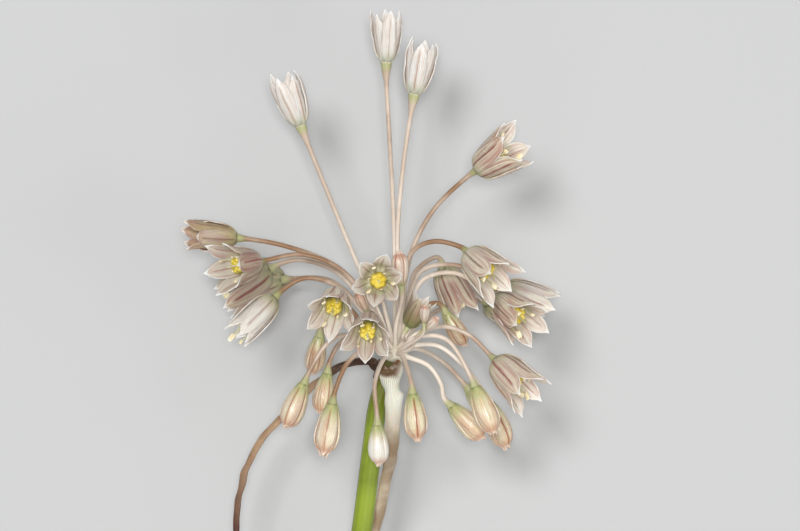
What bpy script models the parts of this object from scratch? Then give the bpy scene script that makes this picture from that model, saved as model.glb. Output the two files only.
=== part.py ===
"""Flower head of Allium macedonicum on its cut scape, lying down. Metres, +Z up."""

import math
import random

import bmesh
import bpy
import numpy as np

# Lengths in this file are millimetres, and MM turns them into metres at the end
MM = 0.001

# Place of the hub, where all flower stalks start, in the frame of the part
HUB = (2.6, 25.45, 17.6)

# Scape
SCAPE_TOP_RADIUS = 1.05
SCAPE_CUT_RADIUS = 1.35
SCAPE_SIDES = 12
SCAPE_PATH = (
    (-0.55, -1.6, -0.3),
    (-1.9, -5.6, -1.0),
    (-2.6, -10.5, -1.9),
    (-3.9, -21.0, -3.9),
    (-7.4, -45.0, -8.4),
    (-12.6, -74.0, -13.7),
    (-16.0, -90.0, -16.55),
)

# Receptacle and pedicels
RECEPTACLE_RADII = (1.45, 1.25, 1.35)
PEDICEL_RADIUS = 0.3
PEDICEL_ROOT_RADIUS = 0.36
ROOT_DEPTH = 0.85
CONE_RADIUS = 0.62
CONE_LENGTH = 2.1
LEAD = 1.3
PEDICEL_SIDES = 5
PEDICEL_STEPS = 7
FIT_GAP = 0.3

# Perianth: share of the length, then radius and height of each stage there
TEPALS = 6
WALL = 0.6
LENGTHWISE = (0.0, 0.13, 0.33, 0.56, 0.8, 1.0)
CUPS = {
    "open": ((0.65, 1.6, 2.1, 2.4, 2.8, 3.25), (0.0, 0.7, 2.0, 3.5, 5.0, 6.2)),
    "wide": ((0.65, 1.58, 2.06, 2.3, 2.5, 2.8), (0.0, 0.7, 2.0, 3.5, 5.05, 6.25)),
    "half": ((0.65, 1.5, 2.02, 2.2, 2.28, 2.5), (0.0, 0.7, 2.0, 3.5, 5.1, 6.3)),
    "slim": ((0.65, 1.4, 1.85, 1.95, 1.9, 1.85), (0.0, 0.7, 2.0, 3.6, 5.2, 6.4)),
    "closing": ((0.65, 1.15, 1.5, 1.6, 1.55, 1.35), (0.0, 0.6, 2.0, 3.6, 5.1, 6.3)),
    "old": ((0.65, 1.05, 1.48, 1.75, 1.82, 1.65), (0.0, 0.6, 2.0, 3.6, 5.1, 6.2)),
}
SPLIT_SHARE = {"open": 0.42, "wide": 0.45, "half": 0.5, "slim": 0.56, "closing": 0.58, "old": 0.58}
WIDTH_SHARE = {"open": 1.0, "wide": 0.97, "half": 0.95, "slim": 0.8, "closing": 0.7, "old": 0.74}
EMPTY_STAGES = ("closing", "old")
WIDTH_SHARES = (0.42, 0.6, 0.8, 1.0)
HALF_WIDTHS = (1.25, 1.14, 0.87, 0.0)
KEEL = 0.16
WHORL_STEP = 0.14
FLOOR_HEIGHT = 1.15

# Pistil and stamens
OVARY_RADII = (0.45, 1.05, 1.03, 0.5)
OVARY_HEIGHTS = (1.5, 2.3, 3.3, 3.85)
STYLE_RADIUS = 0.16
STYLE_TOP = 4.8
FILAMENT_RADIUS = 0.17
ANTHER_RADIUS = 0.27
ANTHER_LENGTH = 0.85
# Every other stamen is still short and leans on the ovary
STAMEN_SPREAD = {"open": (1.15, 1.6), "wide": (1.08, 1.36), "half": (1.0, 1.1), "slim": (0.78, 0.78)}
STAMEN_TOP = {"open": (3.6, 4.9), "wide": (3.6, 4.9), "half": (3.7, 4.9), "slim": (6.3, 6.3)}
PISTIL_SHARE = {"open": 1.0, "wide": 1.0, "half": 1.0, "slim": 0.84}

# Buds: share of the length and share of the greatest radius
BUD_LENGTH = 4.75
BUD_RADIUS = 1.26
BUD_SHARES = (0.0, 0.12, 0.35, 0.62, 0.82, 0.94)
BUD_RADII = (0.42, 0.64, 0.9, 1.0, 0.8, 0.38)
BUD_RIB = 0.06

# Spathe valves: their middle lines from the hub, half angles of their arcs, and radii
VALVE_WALL = 0.62
COLLAR_RADIUS = 2.02
VALVE_RIGHT_PATH = (
    (0.2, -4.5, 0.95),
    (0.0, -6.6, 0.4),
    (-0.15, -8.8, -0.5),
    (-0.3, -11.5, -1.6),
    (-0.9, -14.6, -3.0),
    (-1.6, -18.0, -4.1),
    (-2.3, -21.5, -5.1),
    (-3.0, -26.0, -6.3),
    (-3.9, -31.0, -7.6),
)
VALVE_RIGHT_HALF = (88, 82, 60, 54, 50, 46, 42, 40, 38, 32, 20)
VALVE_RIGHT_RADII = (2.02, 2.0, 1.38, 1.16, 1.08, 1.0, 0.95, 0.92, 0.9, 0.85, 0.8)
VALVE_LEFT_PATH = (
    (-2.9, -0.9, -3.1),
    (-5.7, -1.3, -4.2),
    (-8.9, -3.2, -4.4),
    (-12.6, -6.9, -4.2),
    (-15.4, -9.8, -4.0),
    (-17.3, -13.4, -3.8),
    (-18.3, -17.6, -3.6),
    (-18.5, -22.0, -3.5),
    (-18.3, -26.5, -3.4),
)
VALVE_LEFT_HALF = (32, 32, 38, 40, 42, 42, 42, 42, 40, 36, 26)
VALVE_LEFT_RADII = (2.02, 2.02, 0.95, 0.76, 0.7, 0.68, 0.67, 0.67, 0.67, 0.67, 0.66)

# Name, stage, base from the hub, way it faces, turn about its own axis in degrees, size
# against the usual, then the places that its stalk passes on the way from the hub
BLOOMS = (
    ("old_flower_01", "old", (-10.8, 26.1, 2.0), (-2.1, 5.5, 1.0), 10, 1.0,
     ((-2.1, 5.2, 0.4), (-4.6, 10.9, 0.8), (-7.8, 18.6, 1.3))),
    ("old_flower_02", "old", (-1.0, 33.4, 0.0), (0.1, 5.8, 0.6), 40, 0.95,
     ((0.0, 6.0, -0.6), (-0.1, 14.0, -0.8), (-0.6, 24.0, -0.5))),
    ("old_flower_03", "old", (2.2, 29.7, 1.0), (1.1, 6.1, 0.4), 25, 1.0,
     ((0.4, 6.0, 0.9), (0.3, 14.0, 1.2), (1.0, 22.0, 1.2))),
    ("flower_01", "open", (9.4, 21.0, 2.0), (4.4, 3.0, 2.7), 8, 1.05,
     ((0.7, 5.0, 2.0), (1.9, 11.6, 2.6), (4.4, 16.4, 2.4))),
    ("flower_02", "closing", (-18.1, 13.2, 3.0), (-6.0, 0.5, 0.6), 20, 0.98,
     ((-3.0, 5.9, 1.0), (-6.6, 9.9, 2.0), (-12.6, 12.3, 2.8))),
    ("flower_03", "open", (-15.6, 10.5, 4.5), (-4.3, -0.8, 4.1), 35, 0.94,
     ((-2.6, 4.9, 2.0), (-6.2, 9.6, 3.6), (-10.6, 11.3, 3.8))),
    ("flower_04", "half", (-14.4, 9.6, -1.6), (-5.6, -3.3, -0.4), 5, 1.08,
     ((-3.2, 5.2, -0.6), (-6.6, 9.2, -1.2), (-10.8, 10.7, -1.6))),
    ("flower_05", "slim", (-13.8, 6.3, 2.6), (-4.1, -4.2, 1.5), 30, 1.0,
     ((-3.3, 4.4, 1.0), (-7.0, 7.9, 1.6), (-10.4, 8.6, 2.0))),
    ("flower_06", "open", (-1.9, 8.5, 8.6), (0.1, -0.3, 6.0), 19, 0.88,
     ((-0.7, 3.2, 2.6), (-1.6, 6.8, 5.0))),
    ("flower_07", "open", (-6.5, 6.7, 5.8), (-0.9, -2.9, 5.2), 28, 0.9,
     ((-2.9, 2.6, 3.2), (-5.4, 5.6, 4.4))),
    ("flower_08", "open", (-3.0, 3.9, 10.4), (-0.1, -2.8, 5.3), 21, 0.88,
     ((-1.3, 2.0, 3.4), (-2.5, 4.6, 7.0))),
    ("flower_09", "wide", (8.3, 11.4, 7.0), (3.5, -3.3, 3.6), 36, 1.03,
     ((0.9, 5.2, 2.6), (1.8, 11.4, 4.2), (4.4, 12.8, 5.8))),
    ("flower_10", "wide", (12.0, 6.0, 2.8), (3.3, -2.9, 4.0), -7, 1.02,
     ((1.4, 4.6, 1.2), (3.2, 8.4, 1.8), (6.8, 9.2, 2.2))),
    ("flower_11", "half", (12.5, 7.4, -1.9), (5.7, -2.5, -0.6), 30, 1.0,
     ((1.4, 5.2, 0.0), (3.0, 9.4, -0.6), (7.0, 10.1, -1.2))),
    ("flower_12", "half", (11.5, -0.8, 3.0), (3.8, -3.8, 2.8), 42, 1.05,
     ((2.4, 2.2, 1.4), (5.3, 3.1, 2.2), (8.5, 2.1, 2.8))),
    ("flower_13", "half", (5.6, 9.9, -6.6), (2.4, -4.6, -1.7), 0, 0.95,
     ((1.4, 5.4, -2.4), (2.4, 9.4, -4.4))),
    ("flower_14", "half", (1.5, 3.1, 3.1), (2.0, 3.6, 0.8), 15, 0.62,
     ((1.0, 1.5, 1.8),)),
    ("rear_flower_01", "open", (-13.2, 8.4, -13.0), (-5.2, -0.6, -2.6), 0, 1.0,
     ((-3.0, 4.0, -4.4), (-7.6, 8.3, -9.8))),
    ("rear_flower_02", "open", (10.8, 5.8, -12.6), (4.6, -1.2, -3.0), 30, 1.0,
     ((2.4, 3.0, -5.4), (6.7, 5.5, -12.0))),
    ("bud_01", "bud", (0.7, 7.8, 6.2), (-0.3, 4.2, 0.6), 0, 0.8,
     ((0.1, 3.2, 3.8),)),
    ("bud_02", "bud", (5.9, 4.5, -3.0), (2.3, -3.8, -1.0), 10, 0.92,
     ((2.2, 3.6, -1.4), (4.0, 5.6, -2.2))),
    ("bud_03", "bud", (-10.4, -3.5, 3.0), (-2.1, -5.0, 0.3), 20, 1.12,
     ((-3.6, 2.0, 1.6), (-7.2, 1.6, 2.6))),
    ("bud_04", "bud", (-7.8, -2.4, -1.0), (-0.8, -4.6, 0.2), 0, 0.97,
     ((-2.9, 1.4, -0.6), (-6.0, 1.4, -1.0))),
    ("bud_05", "bud", (-7.1, -5.7, 6.0), (-1.0, -5.7, 0.6), 15, 1.2,
     ((-2.6, 0.8, 2.6), (-5.3, -0.9, 4.8))),
    ("bud_06", "bud", (-8.8, 1.8, -8.0), (-0.9, -4.6, -1.2), 5, 0.97,
     ((-3.0, 2.6, -3.0), (-6.6, 4.2, -6.6))),
    ("bud_07", "bud", (-2.0, -8.1, 5.0), (0.2, -4.9, -0.2), 25, 0.95,
     ((-1.3, -0.6, 3.0), (-2.3, -3.4, 4.8))),
    ("bud_08", "bud", (2.0, -4.6, 4.0), (0.6, -5.4, 0.2), 0, 1.1,
     ((0.8, -0.2, 2.6),)),
    ("bud_09", "bud", (6.5, -6.1, 0.5), (3.7, -3.9, 0.2), 10, 1.08,
     ((1.9, -0.6, 0.6), (3.9, -1.5, 0.8), (5.3, -3.6, 0.8))),
    ("bud_10", "bud", (9.1, -3.8, 5.0), (2.2, -5.4, 0.6), 20, 1.18,
     ((2.9, 2.0, 3.0), (5.9, 1.6, 4.2))),
    ("bud_11", "bud", (10.8, -5.8, 0.6), (2.3, -5.6, -0.4), 5, 1.14,
     ((2.4, 0.9, 0.0), (5.0, 0.8, 0.2), (7.9, -1.5, 0.4))),
    ("bud_12", "bud", (-3.3, 5.0, 3.6), (-1.0, 2.3, 1.6), 5, 0.56,
     ((-1.5, 2.5, 2.4),)),
    ("bud_13", "bud", (3.3, 3.6, 6.2), (0.1, 1.8, 0.8), 5, 0.46,
     ((1.3, 0.9, 3.0),)),
    ("bud_14", "bud", (3.4, 2.8, 4.8), (1.4, 1.3, 0.9), 25, 0.46,
     ((1.8, 0.6, 2.2),)),
    ("rear_bud_01", "bud", (-3.0, 6.0, -9.0), (-0.6, 1.0, -4.6), 0, 1.0,
     ((-1.0, 3.4, -4.4),)),
    ("rear_bud_02", "bud", (8.6, -4.4, -8.6), (2.6, -3.0, -2.6), 0, 1.0,
     ((2.6, 0.4, -3.4), (5.8, -1.4, -6.6))),
)

# Name, colour, roughness
COLOURS = {
    "tepal": ((0.74, 0.68, 0.66, 1.0), 0.55),
    "old_tepal": ((0.82, 0.78, 0.74, 1.0), 0.6),
    "pistil": ((0.85, 0.75, 0.18, 1.0), 0.5),
    "bud": ((0.78, 0.66, 0.46, 1.0), 0.5),
    "pedicel": ((0.50, 0.40, 0.27, 1.0), 0.5),
    "scape": ((0.23, 0.37, 0.06, 1.0), 0.45),
    "valve_pale": ((0.70, 0.64, 0.52, 1.0), 0.6),
    "valve_brown": ((0.42, 0.29, 0.15, 1.0), 0.6),
}


def clear_scene():
    for old in list(bpy.data.objects):
        bpy.data.objects.remove(old, do_unlink=True)


def make_materials():
    made = {}
    for name, (colour, roughness) in COLOURS.items():
        material = bpy.data.materials.new(name)
        material.use_nodes = True
        shader = material.node_tree.nodes["Principled BSDF"]
        shader.inputs["Base Color"].default_value = colour
        shader.inputs["Roughness"].default_value = roughness
        made[name] = material
    return made


def unit(vector):
    vector = np.asarray(vector, dtype=float)
    return vector / np.linalg.norm(vector)


def add_mesh(name, points, faces, material):
    mesh = bpy.data.meshes.new(name)
    mesh.from_pydata([tuple(float(v) for v in p) for p in points], [], faces)
    mesh.validate()
    mesh.update()
    mesh.materials.append(material)
    mesh.shade_smooth()
    made = bpy.data.objects.new(name, mesh)
    bpy.context.collection.objects.link(made)
    return made


def frame_of(axis, turn):
    """Three unit columns: two across the axis, then the axis."""
    axis = unit(axis)
    helper = np.array((0.0, 0.0, 1.0)) if abs(axis[2]) < 0.8 else np.array((0.0, 1.0, 0.0))
    across = unit(np.cross(helper, axis))
    other = np.cross(axis, across)
    angle = math.radians(turn)
    first = across * math.cos(angle) + other * math.sin(angle)
    second = other * math.cos(angle) - across * math.sin(angle)
    return np.column_stack((first, second, axis))


def placed(points, base, axis, turn, size):
    return np.asarray(points) * size @ frame_of(axis, turn).T + np.asarray(base)


def union(name, pieces):
    """One body from overlapping closed pieces, held by the first of them."""
    first = pieces[0]
    rest = bpy.data.collections.new(name + "_pieces")
    bpy.context.scene.collection.children.link(rest)
    for piece in pieces[1:]:
        bpy.context.collection.objects.unlink(piece)
        rest.objects.link(piece)
    join = first.modifiers.new("join", "BOOLEAN")
    join.operation = "UNION"
    join.operand_type = "COLLECTION"
    join.collection = rest
    join.solver = "EXACT"
    bpy.context.view_layer.objects.active = first
    bpy.ops.object.modifier_apply(modifier=join.name)
    for piece in list(rest.objects):
        bpy.data.objects.remove(piece, do_unlink=True)
    bpy.data.collections.remove(rest)
    first.name = name
    return first


def ring_faces(rows, sides):
    """Side quads between closed rings of points that follow each other."""
    faces = []
    for row in range(rows - 1):
        for side in range(sides):
            after = (side + 1) % sides
            low = row * sides
            high = low + sides
            faces.append((low + side, low + after, high + after, high + side))
    return faces


def tube(path, radii, sides):
    """Points and faces of a closed tube along a path, its rings carried on without twist."""
    path = np.asarray(path, dtype=float)
    tangents = np.gradient(path, axis=0)
    across = frame_of(tangents[0], 0)[:, 0]
    points = []
    for centre, tangent, radius in zip(path, tangents, radii):
        tangent = unit(tangent)
        across = unit(across - tangent * np.dot(across, tangent))
        other = np.cross(tangent, across)
        for side in range(sides):
            angle = 2 * math.pi * side / sides
            points.append(centre + radius * (across * math.cos(angle) + other * math.sin(angle)))
    faces = ring_faces(len(path), sides)
    faces.append(tuple(reversed(range(sides))))
    last = (len(path) - 1) * sides
    faces.append(tuple(range(last, last + sides)))
    return points, faces


def through(points, count):
    """Evenly spaced places on a smooth curve through the given points."""
    points = np.asarray(points, dtype=float)
    ends = np.vstack((2 * points[0] - points[1], points, 2 * points[-1] - points[-2]))
    steps = np.sqrt(np.linalg.norm(np.diff(ends, axis=0), axis=1))
    fine = []
    for i in range(1, len(ends) - 2):
        before, here, after = steps[i - 1 : i + 2]
        b, c = ends[i], ends[i + 1]
        slope_b = here * ((b - ends[i - 1]) / before - (c - ends[i - 1]) / (before + here))
        slope_b = slope_b + c - b
        slope_c = here * ((ends[i + 2] - c) / after - (ends[i + 2] - b) / (here + after))
        slope_c = slope_c + c - b
        for t in np.linspace(0, 1, 24, endpoint=False):
            fine.append(
                (2 * t**3 - 3 * t**2 + 1) * b + (t**3 - 2 * t**2 + t) * slope_b
                + (3 * t**2 - 2 * t**3) * c + (t**3 - t**2) * slope_c
            )
    fine.append(points[-1])
    fine = np.array(fine)
    lengths = np.concatenate(([0], np.cumsum(np.linalg.norm(np.diff(fine, axis=0), axis=1))))
    wanted = np.linspace(0, lengths[-1], count)
    return np.column_stack([np.interp(wanted, lengths, fine[:, k]) for k in range(3)])


def pedicel(base, axis, size, passed):
    """One flower stalk: a bent tube from the hub that widens to a cone under the flower."""
    axis = unit(axis)
    small = min(size, 1.0)
    cone = max(CONE_RADIUS * small, PEDICEL_RADIUS)
    base = np.asarray(base)
    knots = [unit(passed[0]) * ROOT_DEPTH, *passed, base - axis * LEAD, base - axis * FIT_GAP]
    fine = through(knots, 160)
    lengths = np.concatenate(([0], np.cumsum(np.linalg.norm(np.diff(fine, axis=0), axis=1))))
    whole = lengths[-1]
    places = list(np.linspace(0, whole - CONE_LENGTH, PEDICEL_STEPS))
    places += [whole - 0.5 * CONE_LENGTH, whole]
    path = [[np.interp(place, lengths, fine[:, k]) for k in range(3)] for place in places]
    radii = [PEDICEL_ROOT_RADIUS] + [PEDICEL_RADIUS] * (PEDICEL_STEPS - 1)
    radii += [0.5 * (PEDICEL_RADIUS + cone) - 0.05 * small, cone]
    return tube(path, radii, PEDICEL_SIDES)


def receptacle():
    points = []
    rows = 5
    sides = 10
    for row in range(1, rows + 1):
        lift = math.pi * row / (rows + 1)
        for side in range(sides):
            angle = 2 * math.pi * side / sides
            points.append(
                (
                    RECEPTACLE_RADII[0] * math.sin(lift) * math.cos(angle),
                    RECEPTACLE_RADII[1] * math.sin(lift) * math.sin(angle),
                    -RECEPTACLE_RADII[2] * math.cos(lift),
                )
            )
    faces = ring_faces(rows, sides)
    points.append((0, 0, -RECEPTACLE_RADII[2]))
    points.append((0, 0, RECEPTACLE_RADII[2]))
    low = rows * sides
    high = low + 1
    top = (rows - 1) * sides
    for side in range(sides):
        after = (side + 1) % sides
        faces.append((low, after, side))
        faces.append((high, top + side, top + after))
    return points, faces


def cup_at(stage, share):
    radii, heights = CUPS[stage]
    return float(np.interp(share, LENGTHWISE, radii)), float(np.interp(share, LENGTHWISE, heights))


def perianth(stage, seed):
    """Six tepals grown together below and free above, in two whorls, as one closed surface."""
    draw = random.Random(seed)
    split = SPLIT_SHARE[stage]
    cup_shares = (0.0, 0.13, 0.33, split)
    free_shares = (split + 0.4 * (0.8 - split) + 0.05, 0.82, 1.0)
    points = []
    faces = []
    tips = [(draw.uniform(-0.25, 0.35), draw.uniform(-6, 6), draw.uniform(-0.25, 0.15))
            for _ in range(TEPALS)]

    def place(share, angle, offset, inward, lift=0.0):
        radius, height = cup_at(stage, share)
        radius = max(radius + offset - inward, 0.05)
        points.append((radius * math.cos(angle), radius * math.sin(angle), height + lift))
        return len(points) - 1

    def ring(share, inward, lift=0.0):
        """Indices of the seam and keel points round the flower at one height."""
        made = []
        for k in range(TEPALS):
            ease = min(share / split, 1.0)
            step = WHORL_STEP * (1 if k % 2 else -1) * ease
            middle = 2 * math.pi * k / TEPALS
            seam = middle + math.pi / TEPALS
            made.append(place(share, middle, KEEL * ease + step, inward, lift))
            made.append(place(share, seam, -0.06 * ease, inward, lift))
        return made

    count = 2 * TEPALS
    outer = [ring(share, 0.0) for share in cup_shares]
    inner = [ring(0.13, WALL, FLOOR_HEIGHT - cup_at(stage, 0.13)[1])]
    inner += [ring(share, WALL) for share in cup_shares[2:]]
    for low, high in zip(outer, outer[1:]):
        for side in range(count):
            after = (side + 1) % count
            faces.append((low[side], low[after], high[after], high[side]))
    for low, high in zip(inner, inner[1:]):
        for side in range(count):
            after = (side + 1) % count
            faces.append((low[after], low[side], high[side], high[after]))
    under = len(points)
    points.append((0, 0, 0))
    above = len(points)
    points.append((0, 0, FLOOR_HEIGHT - 0.25))
    for side in range(count):
        after = (side + 1) % count
        faces.append((under, outer[0][after], outer[0][side]))
        faces.append((above, inner[0][side], inner[0][after]))

    for k in range(TEPALS):
        flare, side_turn, lengthen = tips[k]
        middle = 2 * math.pi * k / TEPALS
        step = WHORL_STEP * (1 if k % 2 else -1)
        left = (2 * k - 1) % count
        keel = 2 * k
        right = 2 * k + 1
        below = [(outer[-1][i], inner[-1][i]) for i in (left, keel, right)]
        for share in free_shares:
            gone = (share - split) / (1 - split)
            radius, _ = cup_at(stage, share)
            offset = step + flare * gone**2
            turned = middle + math.radians(side_turn) * gone**2
            lift = lengthen * gone
            thin = WALL * (1 - 0.25 * gone)
            half = float(np.interp(share, WIDTH_SHARES, HALF_WIDTHS))
            half *= WIDTH_SHARE[stage]
            if share == 1.0:
                out = place(share, turned, offset, 0.0, lift)
                back = place(share, turned, offset, thin, lift)
                for a, b in zip(below, below[1:]):
                    faces.append((a[0], b[0], out))
                    faces.append((b[1], a[1], back))
                faces.append((below[0][1], below[0][0], out, back))
                faces.append((below[-1][0], below[-1][1], back, out))
                continue
            swing = math.asin(min(half / (radius + offset), 0.95))
            row = []
            for way in (-1, 0, 1):
                keel_out = KEEL if way == 0 else -0.04
                angle = turned + way * swing
                row.append(
                    (
                        place(share, angle, offset + keel_out, 0.0, lift),
                        place(share, angle, offset + keel_out, thin, lift),
                    )
                )
            for a, b, c, d in zip(below, below[1:], row, row[1:]):
                faces.append((a[0], b[0], d[0], c[0]))
                faces.append((b[1], a[1], c[1], d[1]))
            faces.append((below[0][1], below[0][0], row[0][0], row[0][1]))
            faces.append((below[-1][0], below[-1][1], row[-1][1], row[-1][0]))
            below = row
    return points, faces


def lobed_body(radii, heights, lobes, depth):
    """A closed body of revolution with lobes round it."""
    sides = 2 * lobes
    points = []
    for radius, height in zip(radii, heights):
        for side in range(sides):
            angle = 2 * math.pi * side / sides
            reach = radius * (1 + (depth if side % 2 == 0 else -depth))
            points.append((reach * math.cos(angle), reach * math.sin(angle), height))
    faces = ring_faces(len(radii), sides)
    faces.append(tuple(reversed(range(sides))))
    last = (len(radii) - 1) * sides
    faces.append(tuple(range(last, last + sides)))
    return points, faces


def pistil_pieces(stage, seed):
    """The ovary, its style, and six stamens that stand round it on the same base."""
    draw = random.Random(seed + 500)
    share = PISTIL_SHARE[stage]
    pieces = [lobed_body([radius * share for radius in OVARY_RADII], OVARY_HEIGHTS, 6, 0.06)]
    pieces.append(tube([(0, 0, 3.5), (0, 0, STYLE_TOP)], [STYLE_RADIUS * 1.3, STYLE_RADIUS], 3))
    for k in range(6):
        angle = 2 * math.pi * (k + 0.5) / 6 + draw.uniform(-0.08, 0.08)
        reach = STAMEN_SPREAD[stage][k % 2] + draw.uniform(-0.1, 0.06)
        top = STAMEN_TOP[stage][k % 2] + draw.uniform(-0.3, 0.2)
        way = np.array((math.cos(angle), math.sin(angle), 0.0))
        foot = way * 0.72 * share + (0, 0, 2.3)
        head = way * reach + (0, 0, top)
        tip = head + way * 0.03 + (0, 0, ANTHER_LENGTH * 0.62)
        root = head - way * 0.03 - (0, 0, ANTHER_LENGTH * 0.38)
        path = [foot, root, head, tip]
        radii = [FILAMENT_RADIUS * 1.1, FILAMENT_RADIUS, ANTHER_RADIUS, 0.1]
        pieces.append(tube(path, radii, 3))
    return pieces


def bud(seed):
    draw = random.Random(seed)
    length = BUD_LENGTH
    widest = BUD_RADIUS + draw.uniform(-0.05, 0.05)
    sides = 12
    points = []
    for share, radius in zip(BUD_SHARES, BUD_RADII):
        for side in range(sides):
            angle = 2 * math.pi * side / sides
            ease = math.sin(math.pi * min(share + 0.1, 1.0))
            rib = BUD_RIB * ease * (1 if side % 2 == 0 else -1)
            reach = widest * radius + rib
            points.append((reach * math.cos(angle), reach * math.sin(angle), length * share))
    faces = ring_faces(len(BUD_SHARES), sides)
    faces.append(tuple(reversed(range(sides))))
    tip = len(points)
    points.append((0, 0, length))
    top = (len(BUD_SHARES) - 1) * sides
    for side in range(sides):
        faces.append((tip, top + side, top + (side + 1) % sides))
    return points, faces


def valve(name, surface, half_angles, radii, outward, material):
    """A long bract: a wall bent to an arc across, wrapped round the scape where it starts."""
    surface = np.asarray(surface, dtype=float)
    tangents = np.gradient(surface, axis=0)
    points = []
    columns = 7
    for middle, tangent, half, radius, out in zip(surface, tangents, half_angles, radii, outward):
        tangent = unit(tangent)
        out = unit(np.asarray(out, dtype=float) - tangent * np.dot(out, tangent))
        other = np.cross(tangent, out)
        centre = middle - out * radius
        for depth in (0.0, VALVE_WALL):
            for column in range(columns):
                angle = math.radians(half) * (2 * column / (columns - 1) - 1)
                reach = radius - depth
                points.append(centre + reach * (out * math.cos(angle) + other * math.sin(angle)))
    stride = 2 * columns
    loop = list(range(columns)) + [columns + c for c in reversed(range(columns))]
    faces = []
    for row in range(len(surface) - 1):
        for i, near in enumerate(loop):
            far = loop[(i + 1) % len(loop)]
            low = row * stride
            faces.append((low + near, low + far, low + stride + far, low + stride + near))
    faces.append(tuple(reversed(loop)))
    faces.append(tuple((len(surface) - 1) * stride + i for i in loop))
    return add_mesh(name, points, faces, material)


def trim_below(mesh_object, level):
    """Cuts off what reaches below the level, so that the piece rests on a flat spot."""
    shape = bmesh.new()
    shape.from_mesh(mesh_object.data)
    if min(vertex.co.z for vertex in shape.verts) < level:
        cut = bmesh.ops.bisect_plane(
            shape,
            geom=shape.verts[:] + shape.edges[:] + shape.faces[:],
            plane_co=(0, 0, level),
            plane_no=(0, 0, -1),
            clear_outer=True,
        )
        edges = [item for item in cut["geom_cut"] if isinstance(item, bmesh.types.BMEdge)]
        bmesh.ops.holes_fill(shape, edges=edges)
        bmesh.ops.recalc_face_normals(shape, faces=shape.faces[:])
        shape.to_mesh(mesh_object.data)
    shape.free()


def build_scape(materials):
    path = through(SCAPE_PATH, 14)
    share = np.linspace(0, 1, len(path))
    radii = SCAPE_TOP_RADIUS + (SCAPE_CUT_RADIUS - SCAPE_TOP_RADIUS) * np.minimum(share * 2.2, 1)
    points, faces = tube(path, radii, SCAPE_SIDES)
    return add_mesh("scape", points, faces, materials["scape"])


def build_valves(materials):
    down = unit(np.subtract(SCAPE_PATH[1], SCAPE_PATH[0]))
    top = np.asarray(SCAPE_PATH[0]) + down * 0.1
    front = np.array((0.8, 0.0, 0.6))
    front = unit(front - down * np.dot(front, down))
    back = np.array((-0.75, 0.0, -0.65))
    back = unit(back - down * np.dot(back, down))
    right = [top + front * COLLAR_RADIUS + down * reach for reach in (0.0, 1.1)]
    right_out = [front, front] + [(0.45, 0.0, 0.9)] + [(0.3, 0.0, 1.0)] * 8
    valve("spathe_valve_right", right + list(VALVE_RIGHT_PATH), VALVE_RIGHT_HALF,
          VALVE_RIGHT_RADII, right_out, materials["valve_pale"])
    left = [top + back * COLLAR_RADIUS + down * reach for reach in (0.1, 1.0)]
    left_out = [back, back] + [(-0.2, 0.5, 0.8)] * 9
    valve("spathe_valve_left", left + list(VALVE_LEFT_PATH), VALVE_LEFT_HALF,
          VALVE_LEFT_RADII, left_out, materials["valve_brown"])


def build_blooms(materials):
    stalks = [add_mesh("receptacle", *receptacle(), materials["pedicel"])]
    for seed, bloom in enumerate(BLOOMS, start=1):
        name, stage, base, axis, turn, size, passed = bloom
        points, faces = pedicel(base, axis, size, passed)
        stalks.append(add_mesh(name + "_stalk", points, faces, materials["pedicel"]))
        if stage == "bud":
            points, faces = bud(seed)
            add_mesh(name, placed(points, base, axis, turn, size), faces, materials["bud"])
            continue
        points, faces = perianth(stage, seed)
        kind = "old_tepal" if stage in EMPTY_STAGES else "tepal"
        add_mesh(name + "_tepals", placed(points, base, axis, turn, size), faces, materials[kind])
        if stage in EMPTY_STAGES:
            continue
        pieces = [
            add_mesh(name + "_piece", placed(points, base, axis, turn, size), faces,
                     materials["pistil"])
            for points, faces in pistil_pieces(stage, seed)
        ]
        union(name + "_pistil", pieces)
    union("umbel_stalks", stalks)


def main():
    clear_scene()
    materials = make_materials()
    build_scape(materials)
    build_valves(materials)
    build_blooms(materials)
    for part in bpy.data.objects:
        part.data.transform(part.matrix_world)
        for vertex in part.data.vertices:
            vertex.co = [(vertex.co[k] + HUB[k]) for k in range(3)]
        part.data.update()
        trim_below(part, 0.0)
        for vertex in part.data.vertices:
            vertex.co = [value * MM for value in vertex.co]
        part.data.update()


main()
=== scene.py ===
import math
import random

import bpy
import numpy as np
from mathutils import Matrix, Vector, noise


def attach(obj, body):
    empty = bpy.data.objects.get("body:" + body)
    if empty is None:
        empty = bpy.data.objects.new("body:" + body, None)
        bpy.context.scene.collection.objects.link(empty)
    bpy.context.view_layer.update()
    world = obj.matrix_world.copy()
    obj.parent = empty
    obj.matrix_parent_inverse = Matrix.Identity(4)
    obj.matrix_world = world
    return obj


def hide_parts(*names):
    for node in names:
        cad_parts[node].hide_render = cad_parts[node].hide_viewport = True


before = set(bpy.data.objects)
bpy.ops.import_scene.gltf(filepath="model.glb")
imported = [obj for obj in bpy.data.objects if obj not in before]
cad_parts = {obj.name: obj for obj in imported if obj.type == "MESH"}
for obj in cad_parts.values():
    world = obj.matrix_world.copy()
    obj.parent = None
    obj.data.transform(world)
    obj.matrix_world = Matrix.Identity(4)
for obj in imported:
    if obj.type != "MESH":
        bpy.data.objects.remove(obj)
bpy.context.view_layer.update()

mm = 0.001
hub = np.array((2.6, 25.45, 17.6))    # where all flower stalks start, in mm like every table here

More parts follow.
